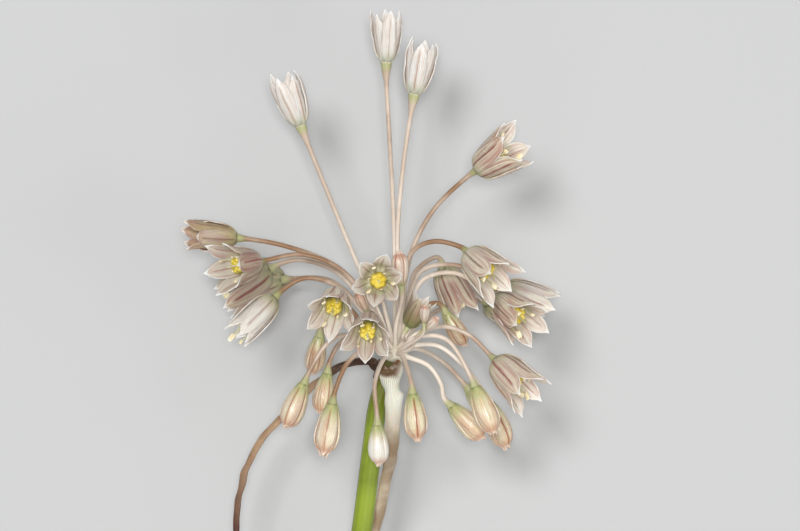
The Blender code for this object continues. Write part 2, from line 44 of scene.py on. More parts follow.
# name, stage, base, way it faces, turn, size, stalk tone from whitish to brown, places its stalk passes
blooms = (
    ("old_flower_01", "old", (-10.8, 26.1, 2.0), (-2.1, 5.5, 1.0), 10, 1.0, 0.42,
     ((-2.1, 5.2, 0.4), (-4.6, 10.9, 0.8), (-7.8, 18.6, 1.3))),
    ("old_flower_02", "old", (-1.0, 33.4, 0.0), (0.1, 5.8, 0.6), 40, 0.95, 0.46,
     ((0.0, 6.0, -0.6), (-0.1, 14.0, -0.8), (-0.6, 24.0, -0.5))),
    ("old_flower_03", "old", (2.2, 29.7, 1.0), (1.1, 6.1, 0.4), 25, 1.0, 0.38,
     ((0.4, 6.0, 0.9), (0.3, 14.0, 1.2), (1.0, 22.0, 1.2))),
    ("flower_01", "open", (9.4, 21.0, 2.0), (4.4, 3.0, 2.7), 8, 1.05, 0.75,
     ((0.7, 5.0, 2.0), (1.9, 11.6, 2.6), (4.4, 16.4, 2.4))),
    ("flower_02", "closing", (-18.1, 13.2, 3.0), (-6.0, 0.5, 0.6), 20, 0.98, 0.85,
     ((-3.0, 5.9, 1.0), (-6.6, 9.9, 2.0), (-12.6, 12.3, 2.8))),
    ("flower_03", "open", (-15.6, 10.5, 4.5), (-4.3, -0.8, 4.1), 35, 0.94, 0.95,
     ((-2.6, 4.9, 2.0), (-6.2, 9.6, 3.6), (-10.6, 11.3, 3.8))),
    ("flower_04", "half", (-14.4, 9.6, -1.6), (-5.6, -3.3, -0.4), 5, 1.08, 0.55,
     ((-3.2, 5.2, -0.6), (-6.6, 9.2, -1.2), (-10.8, 10.7, -1.6))),
    ("flower_05", "slim", (-13.8, 6.3, 2.6), (-4.1, -4.2, 1.5), 30, 1.0, 0.85,
     ((-3.3, 4.4, 1.0), (-7.0, 7.9, 1.6), (-10.4, 8.6, 2.0))),
    ("flower_06", "open", (-1.9, 8.5, 8.6), (0.1, -0.3, 6.0), 19, 0.88, 0.4,
     ((-0.7, 3.2, 2.6), (-1.6, 6.8, 5.0))),
    ("flower_07", "open", (-6.5, 6.7, 5.8), (-0.9, -2.9, 5.2), 28, 0.9, 0.95,
     ((-2.9, 2.6, 3.2), (-5.4, 5.6, 4.4))),
    ("flower_08", "open", (-3.0, 3.9, 10.4), (-0.1, -2.8, 5.3), 21, 0.88, 0.85,
     ((-1.3, 2.0, 3.4), (-2.5, 4.6, 7.0))),
    ("flower_09", "wide", (8.3, 11.4, 7.0), (3.5, -3.3, 3.6), 36, 1.03, 0.95,
     ((0.9, 5.2, 2.6), (1.8, 11.4, 4.2), (4.4, 12.8, 5.8))),
    ("flower_10", "wide", (12.0, 6.0, 2.8), (3.3, -2.9, 4.0), -7, 1.02, 0.5,
     ((1.4, 4.6, 1.2), (3.2, 8.4, 1.8), (6.8, 9.2, 2.2))),
    ("flower_11", "half", (12.5, 7.4, -1.9), (5.7, -2.5, -0.6), 30, 1.0, 0.65,
     ((1.4, 5.2, 0.0), (3.0, 9.4, -0.6), (7.0, 10.1, -1.2))),
    ("flower_12", "half", (11.5, -0.8, 3.0), (3.8, -3.8, 2.8), 42, 1.05, 0.55,
     ((2.4, 2.2, 1.4), (5.3, 3.1, 2.2), (8.5, 2.1, 2.8))),
    ("flower_13", "half", (5.6, 9.9, -6.6), (2.4, -4.6, -1.7), 0, 0.95, 0.6,
     ((1.4, 5.4, -2.4), (2.4, 9.4, -4.4))),
    ("flower_14", "half", (1.5, 3.1, 3.1), (2.0, 3.6, 0.8), 15, 0.62, 0.3,
     ((1.0, 1.5, 1.8),)),
    ("rear_flower_01", "open", (-13.2, 8.4, -13.0), (-5.2, -0.6, -2.6), 0, 1.0, 0.6,
     ((-3.0, 4.0, -4.4), (-7.6, 8.3, -9.8))),
    ("rear_flower_02", "open", (10.8, 5.8, -12.6), (4.6, -1.2, -3.0), 30, 1.0, 0.6,
     ((2.4, 3.0, -5.4), (6.7, 5.5, -12.0))),
    ("bud_01", "bud", (0.7, 7.8, 6.2), (-0.3, 4.2, 0.6), 0, 0.8, 0.3,
     ((0.1, 3.2, 3.8),)),
    ("bud_02", "bud", (5.9, 4.5, -3.0), (2.3, -3.8, -1.0), 10, 0.92, 0.9,
     ((2.2, 3.6, -1.4), (4.0, 5.6, -2.2))),
    ("bud_03", "bud", (-10.4, -3.5, 3.0), (-2.1, -5.0, 0.3), 50, 1.12, 0.7,
     ((-3.6, 2.0, 1.6), (-7.2, 1.6, 2.6))),
    ("bud_04", "bud", (-7.8, -2.4, -1.0), (-0.8, -4.6, 0.2), 0, 0.97, 0.7,
     ((-2.9, 1.4, -0.6), (-6.0, 1.4, -1.0))),
    ("bud_05", "bud", (-7.1, -5.7, 6.0), (-1.0, -5.7, 0.6), 34, 1.2, 0.85,
     ((-2.6, 0.8, 2.6), (-5.3, -0.9, 4.8))),
    ("bud_06", "bud", (-8.8, 1.8, -8.0), (-0.9, -4.6, -1.2), 5, 0.97, 0.6,
     ((-3.0, 2.6, -3.0), (-6.6, 4.2, -6.6))),
    ("bud_07", "bud", (-2.0, -8.1, 5.0), (0.2, -4.9, -0.2), 55, 0.95, 0.6,
     ((-1.3, -0.6, 3.0), (-2.3, -3.4, 4.8))),
    ("bud_08", "bud", (2.0, -4.6, 4.0), (0.6, -5.4, 0.2), 25, 1.1, 0.75,
     ((0.8, -0.2, 2.6),)),
    ("bud_09", "bud", (6.5, -6.1, 0.5), (3.7, -3.9, 0.2), 10, 1.08, 0.15,
     ((1.9, -0.6, 0.6), (3.9, -1.5, 0.8), (5.3, -3.6, 0.8))),
    ("bud_10", "bud", (9.1, -3.8, 5.0), (2.2, -5.4, 0.6), 20, 1.18, 0.35,
     ((2.9, 2.0, 3.0), (5.9, 1.6, 4.2))),
    ("bud_11", "bud", (10.8, -5.8, 0.6), (2.3, -5.6, -0.4), 5, 1.14, 0.15,
     ((2.4, 0.9, 0.0), (5.0, 0.8, 0.2), (7.9, -1.5, 0.4))),
    ("bud_12", "bud", (-3.3, 5.0, 3.6), (-1.0, 2.3, 1.6), 5, 0.56, 0.5,
     ((-1.5, 2.5, 2.4),)),
    ("bud_13", "bud", (3.3, 3.6, 6.2), (0.1, 1.8, 0.8), 5, 0.46, 0.3,
     ((1.3, 0.9, 3.0),)),
    ("bud_14", "bud", (3.4, 2.8, 4.8), (1.4, 1.3, 0.9), 25, 0.46, 0.3,
     ((1.8, 0.6, 2.2),)),
    ("rear_bud_01", "bud", (-3.0, 6.0, -9.0), (-0.6, 1.0, -4.6), 0, 1.0, 0.5,
     ((-1.0, 3.4, -4.4),)),
    ("rear_bud_02", "bud", (8.6, -4.4, -8.6), (2.6, -3.0, -2.6), 0, 1.0, 0.5,
     ((2.6, 0.4, -3.4), (5.8, -1.4, -6.6))),
)


# Small helpers

# Screen colour to the linear numbers that shaders take
def paint(red, green, blue):
    def linear(value):
        value = value / 255
        return value / 12.92 if value <= 0.04045 else ((value + 0.055) / 1.055) ** 2.4
    return (linear(red), linear(green), linear(blue), 1.0)


def unit(vector):
    vector = np.asarray(vector, dtype=float)
    return vector / np.linalg.norm(vector)


# Across, other and axis of a bloom, as columns
def bloomFrame(axis, turn):
    axis = unit(axis)
    steep = 0.8
    helper = (0.0, 0.0, 1.0) if abs(axis[2]) < steep else (0.0, 1.0, 0.0)
    across = unit(np.cross(helper, axis))
    other = np.cross(axis, across)
    angle = math.radians(turn)
    first = across * math.cos(angle) + other * math.sin(angle)
    second = other * math.cos(angle) - across * math.sin(angle)
    return np.column_stack((first, second, axis))


def runLengths(path):
    return np.concatenate(([0], np.cumsum(np.linalg.norm(np.diff(path, axis=0), axis=1))))


# Evenly spaced places on a smooth curve through the given points
def through(points, count):
    spanSteps = 24
    points = np.asarray(points, dtype=float)
    ends = np.vstack((2 * points[0] - points[1], points, 2 * points[-1] - points[-2]))
    steps = np.sqrt(np.linalg.norm(np.diff(ends, axis=0), axis=1))
    fine = []
    for i in range(1, len(ends) - 2):
        before, here, after = steps[i - 1 : i + 2]
        last, start, end, following = ends[i - 1 : i + 3]
        slopeStart = here * ((start - last) / before - (end - last) / (before + here)) + end - start
        slopeEnd = here * ((following - end) / after - (following - start) / (here + after)) + end - start
        for t in np.linspace(0, 1, spanSteps, endpoint=False):
            fine.append(
                (2 * t**3 - 3 * t**2 + 1) * start + (t**3 - 2 * t**2 + t) * slopeStart
                + (3 * t**2 - 2 * t**3) * end + (t**3 - t**2) * slopeEnd
            )
    fine.append(points[-1])
    fine = np.array(fine)
    lengths = runLengths(fine)
    wanted = np.linspace(0, lengths[-1], count)
    return np.column_stack([np.interp(wanted, lengths, column) for column in fine.T])


# Nodes of a geometry tree or a material, wired up with few words
class Board:
    def __init__(self, tree, table):
        self.tree = tree
        self.table = table

    def feed(self, socket, value):
        if isinstance(value, bpy.types.NodeSocket):
            self.tree.links.new(value, socket)
        else:
            socket.default_value = value

    def add(self, kind, inputs=(), **settings):
        node = self.tree.nodes.new(kind)
        for key, value in settings.items():
            setattr(node, key, value)
        for key, value in dict(inputs).items():
            self.feed(node.inputs[key], value)
        return node

    def calc(self, operation, *values):
        return self.add("ShaderNodeMath", enumerate(values), operation=operation).outputs[0]

    # Two or more values multiplied
    def times(self, first, *others):
        for other in others:
            first = self.calc("MULTIPLY", first, other)
        return first

    # Two or more values added up
    def plus(self, first, *others):
        for other in others:
            first = self.calc("ADD", first, other)
        return first

    def minus(self, first, second):
        return self.calc("SUBTRACT", first, second)

    # A smooth step from one value to another while the given one goes from low to high
    def ease(self, value, low, high, toLow=0.0, toHigh=1.0):
        node = self.add(
            "ShaderNodeMapRange",
            {"Value": value, "From Min": low, "From Max": high, "To Min": toLow, "To Max": toHigh},
            interpolation_type="SMOOTHSTEP",
        )
        return node.outputs["Result"]

    # How far a value is through a span of the board's table, as a share or as the span says
    def span(self, value, key):
        return self.ease(value, *self.table[key])

    # The first number turns into the second as the factor goes from 0 to 1
    def blend(self, factor, first, second):
        return self.add("ShaderNodeMix", {0: factor, 2: first, 3: second}, data_type="FLOAT").outputs[0]

    def parts(self, vector):
        return self.add("ShaderNodeSeparateXYZ", {"Vector": vector}).outputs

    def vector(self, x, y, z):
        return self.add("ShaderNodeCombineXYZ", {"X": x, "Y": y, "Z": z}).outputs[0]

    # Noise between 0 and 1
    def noiseAt(self, place, scale, detail):
        sockets = {"Vector": place, "Scale": scale, "Detail": detail}
        return self.add("ShaderNodeTexNoise", sockets).outputs["Fac"]

    # Such a noise as a swing to both sides of zero
    def swing(self, noise, reach):
        return self.times(self.minus(noise, 0.5), reach)


class GeometryBoard(Board):
    def __init__(self, name, table, inputs):
        super().__init__(bpy.data.node_groups.new(name, "GeometryNodeTree"), table)
        face = self.tree.interface
        face.new_socket(name="Geometry", in_out="INPUT", socket_type="NodeSocketGeometry")
        for label, kind in inputs:
            face.new_socket(name=label, in_out="INPUT", socket_type="NodeSocket" + kind)
        face.new_socket(name="Geometry", in_out="OUTPUT", socket_type="NodeSocketGeometry")
        self.entry = self.tree.nodes.new("NodeGroupInput").outputs

    def named(self, name, kind="FLOAT"):
        node = self.add("GeometryNodeInputNamedAttribute", {"Name": name}, data_type=kind)
        return node.outputs["Attribute"]

    def store(self, geometry, name, value, kind="FLOAT", domain="POINT"):
        sockets = {"Geometry": geometry, "Name": name, "Value": value}
        node = self.add("GeometryNodeStoreNamedAttribute", sockets, data_type=kind, domain=domain)
        return node.outputs["Geometry"]

    def ball(self, segments, rings, radius):
        sockets = {"Segments": segments, "Rings": rings, "Radius": radius}
        return self.add("GeometryNodeMeshUVSphere", sockets).outputs["Mesh"]

    def circle(self, sides):
        sockets = {"Resolution": sides, "Radius": 1.0}
        return self.add("GeometryNodeCurvePrimitiveCircle", sockets).outputs[0]

    # A tube round every line that comes in, as thick as its points say
    def tubes(self, outline):
        lines = self.add("GeometryNodeMeshToCurve", {"Mesh": self.entry["Geometry"]}).outputs[0]
        girth = self.named("girth")
        sockets = {"Curve": lines, "Profile Curve": outline, "Scale": girth, "Fill Caps": True}
        return self.add("GeometryNodeCurveToMesh", sockets).outputs[0]

    # One copy at every point that comes in, made real
    def copies(self, instance, **sockets):
        sockets = {"Points": self.entry["Geometry"], "Instance": instance, **sockets}
        placed = self.add("GeometryNodeInstanceOnPoints", sockets).outputs["Instances"]
        return self.add("GeometryNodeRealizeInstances", {"Geometry": placed}).outputs[0]

    def moved(self, geometry, position):
        sockets = {"Geometry": geometry, "Position": position}
        return self.add("GeometryNodeSetPosition", sockets).outputs[0]

    def shifted(self, geometry, move, scale):
        sockets = {"Geometry": geometry, "Translation": move, "Scale": scale}
        return self.add("GeometryNodeTransform", sockets).outputs[0]

    def joined(self, *items):
        node = self.add("GeometryNodeJoinGeometry")
        for item in items:
            self.tree.links.new(item, node.inputs[0])
        return node.outputs[0]

    def dressed(self, geometry, material):
        sockets = {"Geometry": geometry, "Material": self.entry[material]}
        return self.add("GeometryNodeSetMaterial", sockets).outputs[0]

    def finish(self, geometry):
        self.add("NodeGroupOutput", {"Geometry": geometry})
        return self.tree


def inScene(name, data):
    holder = bpy.data.objects.new(name, data)
    bpy.context.scene.collection.objects.link(holder)
    return holder


# What the modifiers of an object make becomes its plain mesh
def bake(holder):
    graph = bpy.context.evaluated_depsgraph_get()
    graph.update()
    mesh = bpy.data.meshes.new_from_object(
        holder.evaluated_get(graph), preserve_all_data_layers=True, depsgraph=graph)
    holder.modifiers.clear()
    holder.data = mesh
    mesh.shade_smooth()


# A sheet gets its thickness, half of it to each side
def thicken(sheet, thickness, backMaterial=0):
    wall = sheet.modifiers.new("wall", "SOLIDIFY")
    wall.thickness = thickness * mm
    wall.offset = 0.0
    wall.material_offset = backMaterial
    bake(sheet)


# The result of a geometry tree as a plain mesh object
def grown(name, base, tree, values):
    holder = inScene(name, base)
    modifier = holder.modifiers.new("grow", "NODES")
    modifier.node_group = tree
    for item in tree.interface.items_tree:
        if item.in_out == "INPUT" and item.name in values:
            modifier[item.identifier] = values[item.name]
    bake(holder)
    return holder


# Points, or lines of them, with the numbers that each point carries for a geometry tree
class Seats:
    def __init__(self):
        self.points, self.edges, self.numbers = [], [], {}

    def addLine(self, path, **numbers):
        start = len(self.points)
        self.points += list(path)
        self.edges += [(start + i, start + i + 1) for i in range(len(path) - 1)]
        self.note(**numbers)

    def note(self, **numbers):
        for key, values in numbers.items():
            self.numbers.setdefault(key, []).extend(values)

    def mesh(self, name):
        mesh = bpy.data.meshes.new(name)
        mesh.from_pydata([tuple(map(float, p)) for p in self.points], self.edges, [])
        for key, values in self.numbers.items():
            values = np.asarray(values, dtype=np.float32)
            kind, field = ("FLOAT_VECTOR", "vector") if values.ndim == 2 else ("FLOAT", "value")
            mesh.attributes.new(key, kind, "POINT").data.foreach_set(field, values.ravel())
        return mesh


def settle(piece, slot, *nodes):
    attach(piece, "root")
    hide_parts(*nodes)


# Materials

# A surface that is painted coat by coat. In its table a noise is its size in mm and its detail.
# A span says from where to where a mark comes up, on its noise or on the piece, and may add how
# strong the mark is at both ends.
class MaterialBoard(Board):
    def __init__(self, name, table, **constants):
        self.material = bpy.data.materials.new(name)
        self.material.use_nodes = True
        super().__init__(self.material.node_tree, table)
        self.shader = self.tree.nodes["Principled BSDF"]
        for key, value in constants.items():
            self.shader.inputs[key.replace("_", " ")].default_value = value

    def uv(self):
        return self.parts(self.add("ShaderNodeUVMap", uv_map="UVMap").outputs[0])

    def attributes(self, *names):
        return [self.add("ShaderNodeAttribute", attribute_name=name).outputs["Fac"] for name in names]

    # The noises of the table, on the object's own coordinates
    def noises(self, *keys):
        place = self.add("ShaderNodeTexCoord").outputs["Object"]
        return [self.noiseAt(place, 1 / (size * mm), detail) for size, detail in map(self.table.get, keys)]

    # Noise drawn out along a sheet
    def streaks(self, u, v, lot, across, along):
        place = self.vector(self.times(u, across), self.times(v, along), lot)
        return self.noiseAt(place, scale=1.0, detail=3.0)

    # Lengthwise veins of a sheet: 1 on a vein
    def veinLines(self, across, count, width):
        wave = self.calc("ABSOLUTE", self.calc("SINE", self.times(across, math.pi * count)))
        return self.minus(1.0, self.ease(wave, 0.0, width))

    # Waves round a stalk, from -1 to 1
    def ribs(self, around, count):
        return self.calc("SINE", self.times(around, 2 * math.pi * count))

    # The first colour turns into the second as the factor goes from 0 to 1
    def tint(self, factor, first, second):
        return self.add("ShaderNodeMix", {0: factor, 6: first, 7: second}, data_type="RGBA").outputs[2]

    def firstCoat(self, factor, first, second):
        self.colour = self.tint(factor, first, second)

    # A colour that covers a share of what is there
    def coat(self, share, colour, strength=None):
        if strength is not None:
            share = self.times(share, strength)
        self.colour = self.tint(share, self.colour, colour)

    def finish(self, grain, rough, height, depth):
        self.feed(self.shader.inputs["Base Color"], self.colour)
        self.feed(self.shader.inputs["Roughness"], self.blend(grain, *rough))
        bump = self.add("ShaderNodeBump", {"Height": height, "Distance": depth * mm, "Strength": 1.0})
        self.feed(self.shader.inputs["Normal"], bump.outputs["Normal"])
        return self.material


tepalSkin = {
    "cloud": (1.7, 3.0),
    "patch": (0.75, 4.0),
    "grain": (0.15, 2.0),
    # changes across and along a tepal
    "streaks": (11.0, 1.6),
    "bands": (4.0, 0.9),
    "wander": 0.1,
    "stained": (0.38, 0.7),
    "banded": (0.44, 0.62),
    "bandSide": (0.1, 0.7),
    "streaked": (0.48, 0.6),
    "blushStart": (0.1, 0.4),
    "veinWidth": 0.5,
    "veinEnd": (0.6, 0.95, 1.0, 0.1),
    "foldInner": (0.66, 0.86),
    "foldOuter": (0.86, 0.97, 1.0, 0.0),
    "foldStart": (0.2, 0.45),
    "foldPatches": (0.35, 0.6),
    "liftStart": (0.1, 0.5),
    "lift": 0.62,
    "rimSide": (0.84, 0.98),
    "rimStart": (0.15, 0.5),
    "rimPatches": (0.4, 0.6, 0.1, 1.0),
    "pinkTip": (0.66, 0.9),
    "whiteTip": (0.9, 0.98),
    "tipBow": 0.03,
    "midribStart": (0.02, 0.16),
    "midribFade": 0.14,
    "midribCore": 0.02,
    "palerMidrib": (0.3, 1.5, 1.0, 0.3),
    "haloSide": (0.0, 0.32, 1.0, 0.0),
    "haloPatches": (0.3, 0.6, 0.4, 1.0),
    "specked": (0.58, 0.75),
    "speck": 0.14,
    "roughStep": 0.22,
    "veinRise": 0.5,
    "grainRise": 0.3,
    "depth": 0.05,
}


def makeTepalMaterial(name, look):
    skin = tepalSkin
    board = MaterialBoard(
        name, skin, Subsurface_Weight=look["glow"], Subsurface_Scale=0.0012,
        Subsurface_Radius=(1.0, 0.8, 0.65), Sheen_Weight=0.1, Specular_IOR_Level=0.55)
    u, v, _ = board.uv()
    side = board.minus(board.times(u, 2.0), 1.0)
    reach = board.calc("ABSOLUTE", side)
    cloud, patch, grain = board.noises("cloud", "patch", "grain")
    wander = board.plus(side, board.swing(patch, skin["wander"]))
    flush, pale, lot = board.attributes("flush", "pale", "lot")
    streak = board.streaks(u, v, lot, *skin["streaks"])
    band = board.streaks(u, v, lot, *skin["bands"])

    # the blade with its green base, stains, pink bands, veins and folds
    pastGreen = board.ease(v, *look["green"])
    board.firstCoat(pastGreen, look["base"], look["blade"])
    board.coat(board.span(patch, "stained"), look["shade"], look["stain"])
    pink = board.times(board.span(band, "banded"), board.span(reach, "bandSide"))
    pink = board.calc("MAXIMUM", pink, board.times(board.span(streak, "streaked"), look["streak"]))
    board.coat(board.times(pink, board.span(v, "blushStart")), look["pink"], look["blush"])
    veins = board.veinLines(wander, look["count"], skin["veinWidth"])
    veins = board.times(veins, board.span(v, "veinEnd"))
    board.coat(veins, look["vein"], look["veins"])
    fold = board.times(board.span(reach, "foldInner"), board.span(reach, "foldOuter"))
    fold = board.times(fold, board.span(v, "foldStart"), board.span(cloud, "foldPatches"))
    board.coat(fold, look["mid"], look["fold"])

    # painted shade on flowers set darker than their kind, lighter flowers, then the white rims and tips
    # painted shade: a tepal set below zero darkens past its green base
    paintedShadeShare = board.calc("MAXIMUM", board.times(pale, -1.0), 0.0)
    board.coat(board.times(paintedShadeShare, pastGreen), look.get("paintedShadeColour", look["mid"]))
    bright = board.calc("MAXIMUM", pale, 0.0)
    board.coat(board.times(bright, board.span(v, "liftStart")), look["edge"], skin["lift"])
    rim = board.times(board.span(reach, "rimSide"), board.span(v, "rimStart"))
    board.coat(board.times(rim, board.span(cloud, "rimPatches")), look["edge"], look["rim"])
    board.coat(board.span(v, "pinkTip"), look["pink"], look["tip"])
    bowed = board.plus(v, board.times(reach, skin["tipBow"]))
    board.coat(board.span(bowed, "whiteTip"), look["edge"], look["point"])

    # the midrib, a line with a halo, redder and stronger on a flushed tepal
    fade = board.ease(v, look["until"] - skin["midribFade"], look["until"], 1.0, 0.0)
    fade = board.times(fade, board.span(v, "midribStart"), board.span(bright, "palerMidrib"))
    fade = board.times(fade, board.ease(flush, 0.0, 1.0, look["weak"], 1.0))
    middle = board.tint(flush, look["mid"], look["red"])
    halo = board.times(board.span(reach, "haloSide"), board.span(cloud, "haloPatches"))
    board.coat(board.times(halo, fade), middle, look["halo"])
    line = board.ease(board.calc("ABSOLUTE", wander), skin["midribCore"], look["line"], 1.0, 0.0)
    board.coat(board.times(line, fade), middle, look["midrib"])

    board.coat(board.span(grain, "specked"), look["edge"], skin["speck"])
    height = board.plus(
        board.times(veins, skin["veinRise"]), board.times(grain, skin["grainRise"]),
        board.times(streak, look["crease"]))
    return board.finish(grain, (look["gloss"], look["gloss"] + skin["roughStep"]), height, skin["depth"])


# Colours and strengths of each kind of tepal. "mid" and "red" are the midrib's colours, "line" is its
# half width, "until" its end and "weak" its strength on a tepal that isn't flushed. "edge" is the white
# of rims and tips, "point" the strength of the white tip, and "green" is where the green base ends.
tepalLooks = {
    "tepalOutside": {
        "base": paint(176, 174, 126), "blade": paint(222, 209, 184), "pink": paint(168, 116, 108),
        "shade": paint(198, 184, 152), "vein": paint(150, 110, 98), "edge": paint(243, 238, 230),
        "mid": paint(96, 58, 44), "red": paint(130, 48, 54), "green": (0.04, 0.34), "stain": 0.4,
        "blush": 0.9, "streak": 0.8, "tip": 0.0, "veins": 0.3, "count": 6, "rim": 0.68, "fold": 0.4,
        "halo": 0.42, "line": 0.13, "midrib": 0.92, "weak": 0.75, "until": 0.84, "crease": 0.7,
        "gloss": 0.38, "point": 0.9, "glow": 0.4,
    },
    "tepalInside": {
        # the inner base is its own pale green-cream, painted brighter still as painted light deep in the
        # cup
        "base": paint(250, 247, 196), "blade": paint(234, 224, 209), "pink": paint(188, 142, 134),
        "shade": paint(222, 212, 190), "vein": paint(164, 136, 120), "edge": paint(248, 244, 237),
        # the darkest colour here is the painted shade of flowers set darker than their kind
        "mid": paint(124, 86, 70), "paintedShadeColour": paint(112, 104, 94), "red": paint(146, 74, 74),
        "green": (0.32, 0.62), "stain": 0.3, "blush": 0.7, "streak": 0.75, "tip": 0.0, "veins": 0.35,
        "count": 7, "rim": 0.5, "fold": 0.15, "halo": 0.3, "line": 0.09, "midrib": 0.75, "weak": 0.7,
        "until": 0.9, "crease": 0.5, "gloss": 0.42, "point": 0.9, "glow": 0.5,
    },
    # a young flower: greener than the others, and darker with painted shade where it sits among the stalks
    "youngTepal": {
        "base": paint(120, 126, 66), "blade": paint(178, 168, 140), "pink": paint(164, 108, 90),
        "shade": paint(142, 140, 92), "vein": paint(120, 104, 70), "edge": paint(216, 210, 194),
        "mid": paint(98, 62, 40), "red": paint(126, 54, 42), "green": (0.25, 0.7), "stain": 0.5,
        "blush": 0.7, "streak": 0.6, "tip": 0.0, "veins": 0.4, "count": 6, "rim": 0.6, "fold": 0.3,
        "halo": 0.3, "line": 0.12, "midrib": 0.8, "weak": 0.7, "until": 0.86, "crease": 0.5,
        "gloss": 0.4, "point": 0.9, "glow": 0.25,
    },
    "wiltingTepal": {
        "base": paint(182, 172, 122), "blade": paint(184, 167, 122), "pink": paint(160, 122, 108),
        "shade": paint(166, 142, 102), "vein": paint(136, 106, 78), "edge": paint(242, 234, 222),
        "mid": paint(108, 76, 56), "red": paint(120, 78, 66), "green": (0.04, 0.3), "stain": 0.6,
        "blush": 0.9, "streak": 1.0, "tip": 0.5, "veins": 0.5, "count": 6, "rim": 0.9, "fold": 0.6,
        "halo": 0.45, "line": 0.14, "midrib": 0.8, "weak": 0.6, "until": 0.84, "crease": 2.0,
        "gloss": 0.34, "point": 0.8, "glow": 0.25,
    },
    "oldTepal": {
        "base": paint(200, 202, 174), "blade": paint(238, 232, 224), "pink": paint(206, 180, 162),
        "shade": paint(222, 210, 192), "vein": paint(176, 152, 128), "edge": paint(250, 247, 243),
        "mid": paint(150, 114, 84), "red": paint(160, 110, 88), "green": (0.05, 0.34), "stain": 0.45,
        "blush": 0.62, "streak": 0.85, "tip": 0.0, "veins": 0.4, "count": 5, "rim": 0.8, "fold": 0.5,
        "halo": 0.42, "line": 0.13, "midrib": 0.75, "weak": 0.6, "until": 0.9, "crease": 1.3,
        "gloss": 0.45, "point": 0.9, "glow": 0.35,
    },
    "budTepal": {
        "base": paint(184, 191, 122), "blade": paint(243, 225, 189), "pink": paint(208, 148, 116),
        "shade": paint(218, 200, 142), "vein": paint(200, 162, 112), "edge": paint(250, 243, 228),
        "mid": paint(142, 84, 50), "red": paint(152, 82, 54), "green": (0.02, 0.46), "stain": 0.5,
        "blush": 0.7, "streak": 0.8, "tip": 0.75, "veins": 0.2, "count": 5, "rim": 0.45, "fold": 0.5,
        "halo": 0.5, "line": 0.15, "midrib": 0.9, "weak": 0.08, "until": 0.97, "crease": 0.4,
        "gloss": 0.18, "point": 0.3, "glow": 0.35,
    },
    "rosyTepal": {
        "base": paint(196, 186, 130), "blade": paint(240, 222, 190), "pink": paint(204, 138, 110),
        "shade": paint(222, 184, 146), "vein": paint(186, 120, 90), "edge": paint(248, 236, 218),
        "mid": paint(140, 60, 42), "red": paint(150, 50, 40), "green": (0.04, 0.2), "stain": 0.4,
        "blush": 0.75, "streak": 0.8, "tip": 0.8, "veins": 0.3, "count": 5, "rim": 0.5, "fold": 0.6,
        "halo": 0.5, "line": 0.15, "midrib": 0.85, "weak": 0.4, "until": 0.97, "crease": 0.4,
        "gloss": 0.24, "point": 0.45, "glow": 0.35,
    },
}
tepalMaterials = {name: makeTepalMaterial(name, look) for name, look in tepalLooks.items()}

grainSkin = {
    "detail": 3.0,
    "cloudTimes": 5,
    "cloudDetail": 2.0,
    "clouded": (0.35, 0.65),
    "grained": (0.55, 0.75),
    "strength": 0.4,
}
# colours, size of the grain in mm, roughness and depth
grainLooks = {
    "filament": (paint(212, 206, 178), paint(180, 178, 132), 0.4, (0.35, 0.6), 0.01),
    "anther": (paint(252, 243, 214), paint(236, 217, 170), 0.12, (0.5, 0.75), 0.03),
}


def makeGrainMaterial(name, light, dark, size, rough, depth):
    table = {
        **grainSkin, "grain": (size, grainSkin["detail"]),
        "cloud": (size * grainSkin["cloudTimes"], grainSkin["cloudDetail"])}
    board = MaterialBoard(
        name, table, Subsurface_Weight=0.15, Subsurface_Scale=0.0008, Subsurface_Radius=(1.0, 0.8, 0.3))
    grain, cloud = board.noises("grain", "cloud")
    board.firstCoat(board.span(cloud, "clouded"), dark, light)
    board.coat(board.span(grain, "grained"), dark, table["strength"])
    return board.finish(grain, rough, grain, depth)


ovarySkin = {
    "grain": (0.2, 3.0),
    "cloud": (0.8, 2.0),
    "foot": paint(180, 176, 78),
    "lobes": paint(214, 192, 60),
    "upper": (0.35, 0.85),
    "grooves": paint(178, 150, 30),
    "grooved": (-0.2, -0.9, 0.0, 0.5),
    "shine": paint(238, 224, 128),
    "shining": (0.4, 0.65, 0.0, 0.45),
    "specks": paint(204, 176, 48),
    "specked": (0.56, 0.72, 0.0, 0.4),
    "rough": (0.28, 0.5),
    "depth": 0.06,
}


# The ovary is brightest on its lobes and greener between and under them
def makeOvaryMaterial(name, skin):
    board = MaterialBoard(
        name, skin, Subsurface_Weight=0.2, Subsurface_Scale=0.0008, Subsurface_Radius=(1.0, 0.85, 0.2),
        Specular_IOR_Level=0.6)
    lobe, rise = board.attributes("lobe", "rise")
    grain, cloud = board.noises("grain", "cloud")
    board.firstCoat(board.span(rise, "upper"), skin["foot"], skin["lobes"])
    board.coat(board.span(lobe, "grooved"), skin["grooves"])
    board.coat(board.span(cloud, "shining"), skin["shine"])
    board.coat(board.span(grain, "specked"), skin["specks"])
    return board.finish(grain, skin["rough"], grain, skin["depth"])


grainMaterials = {name: makeGrainMaterial(name, *look) for name, look in grainLooks.items()}
ovaryMaterial = makeOvaryMaterial("ovary", ovarySkin)

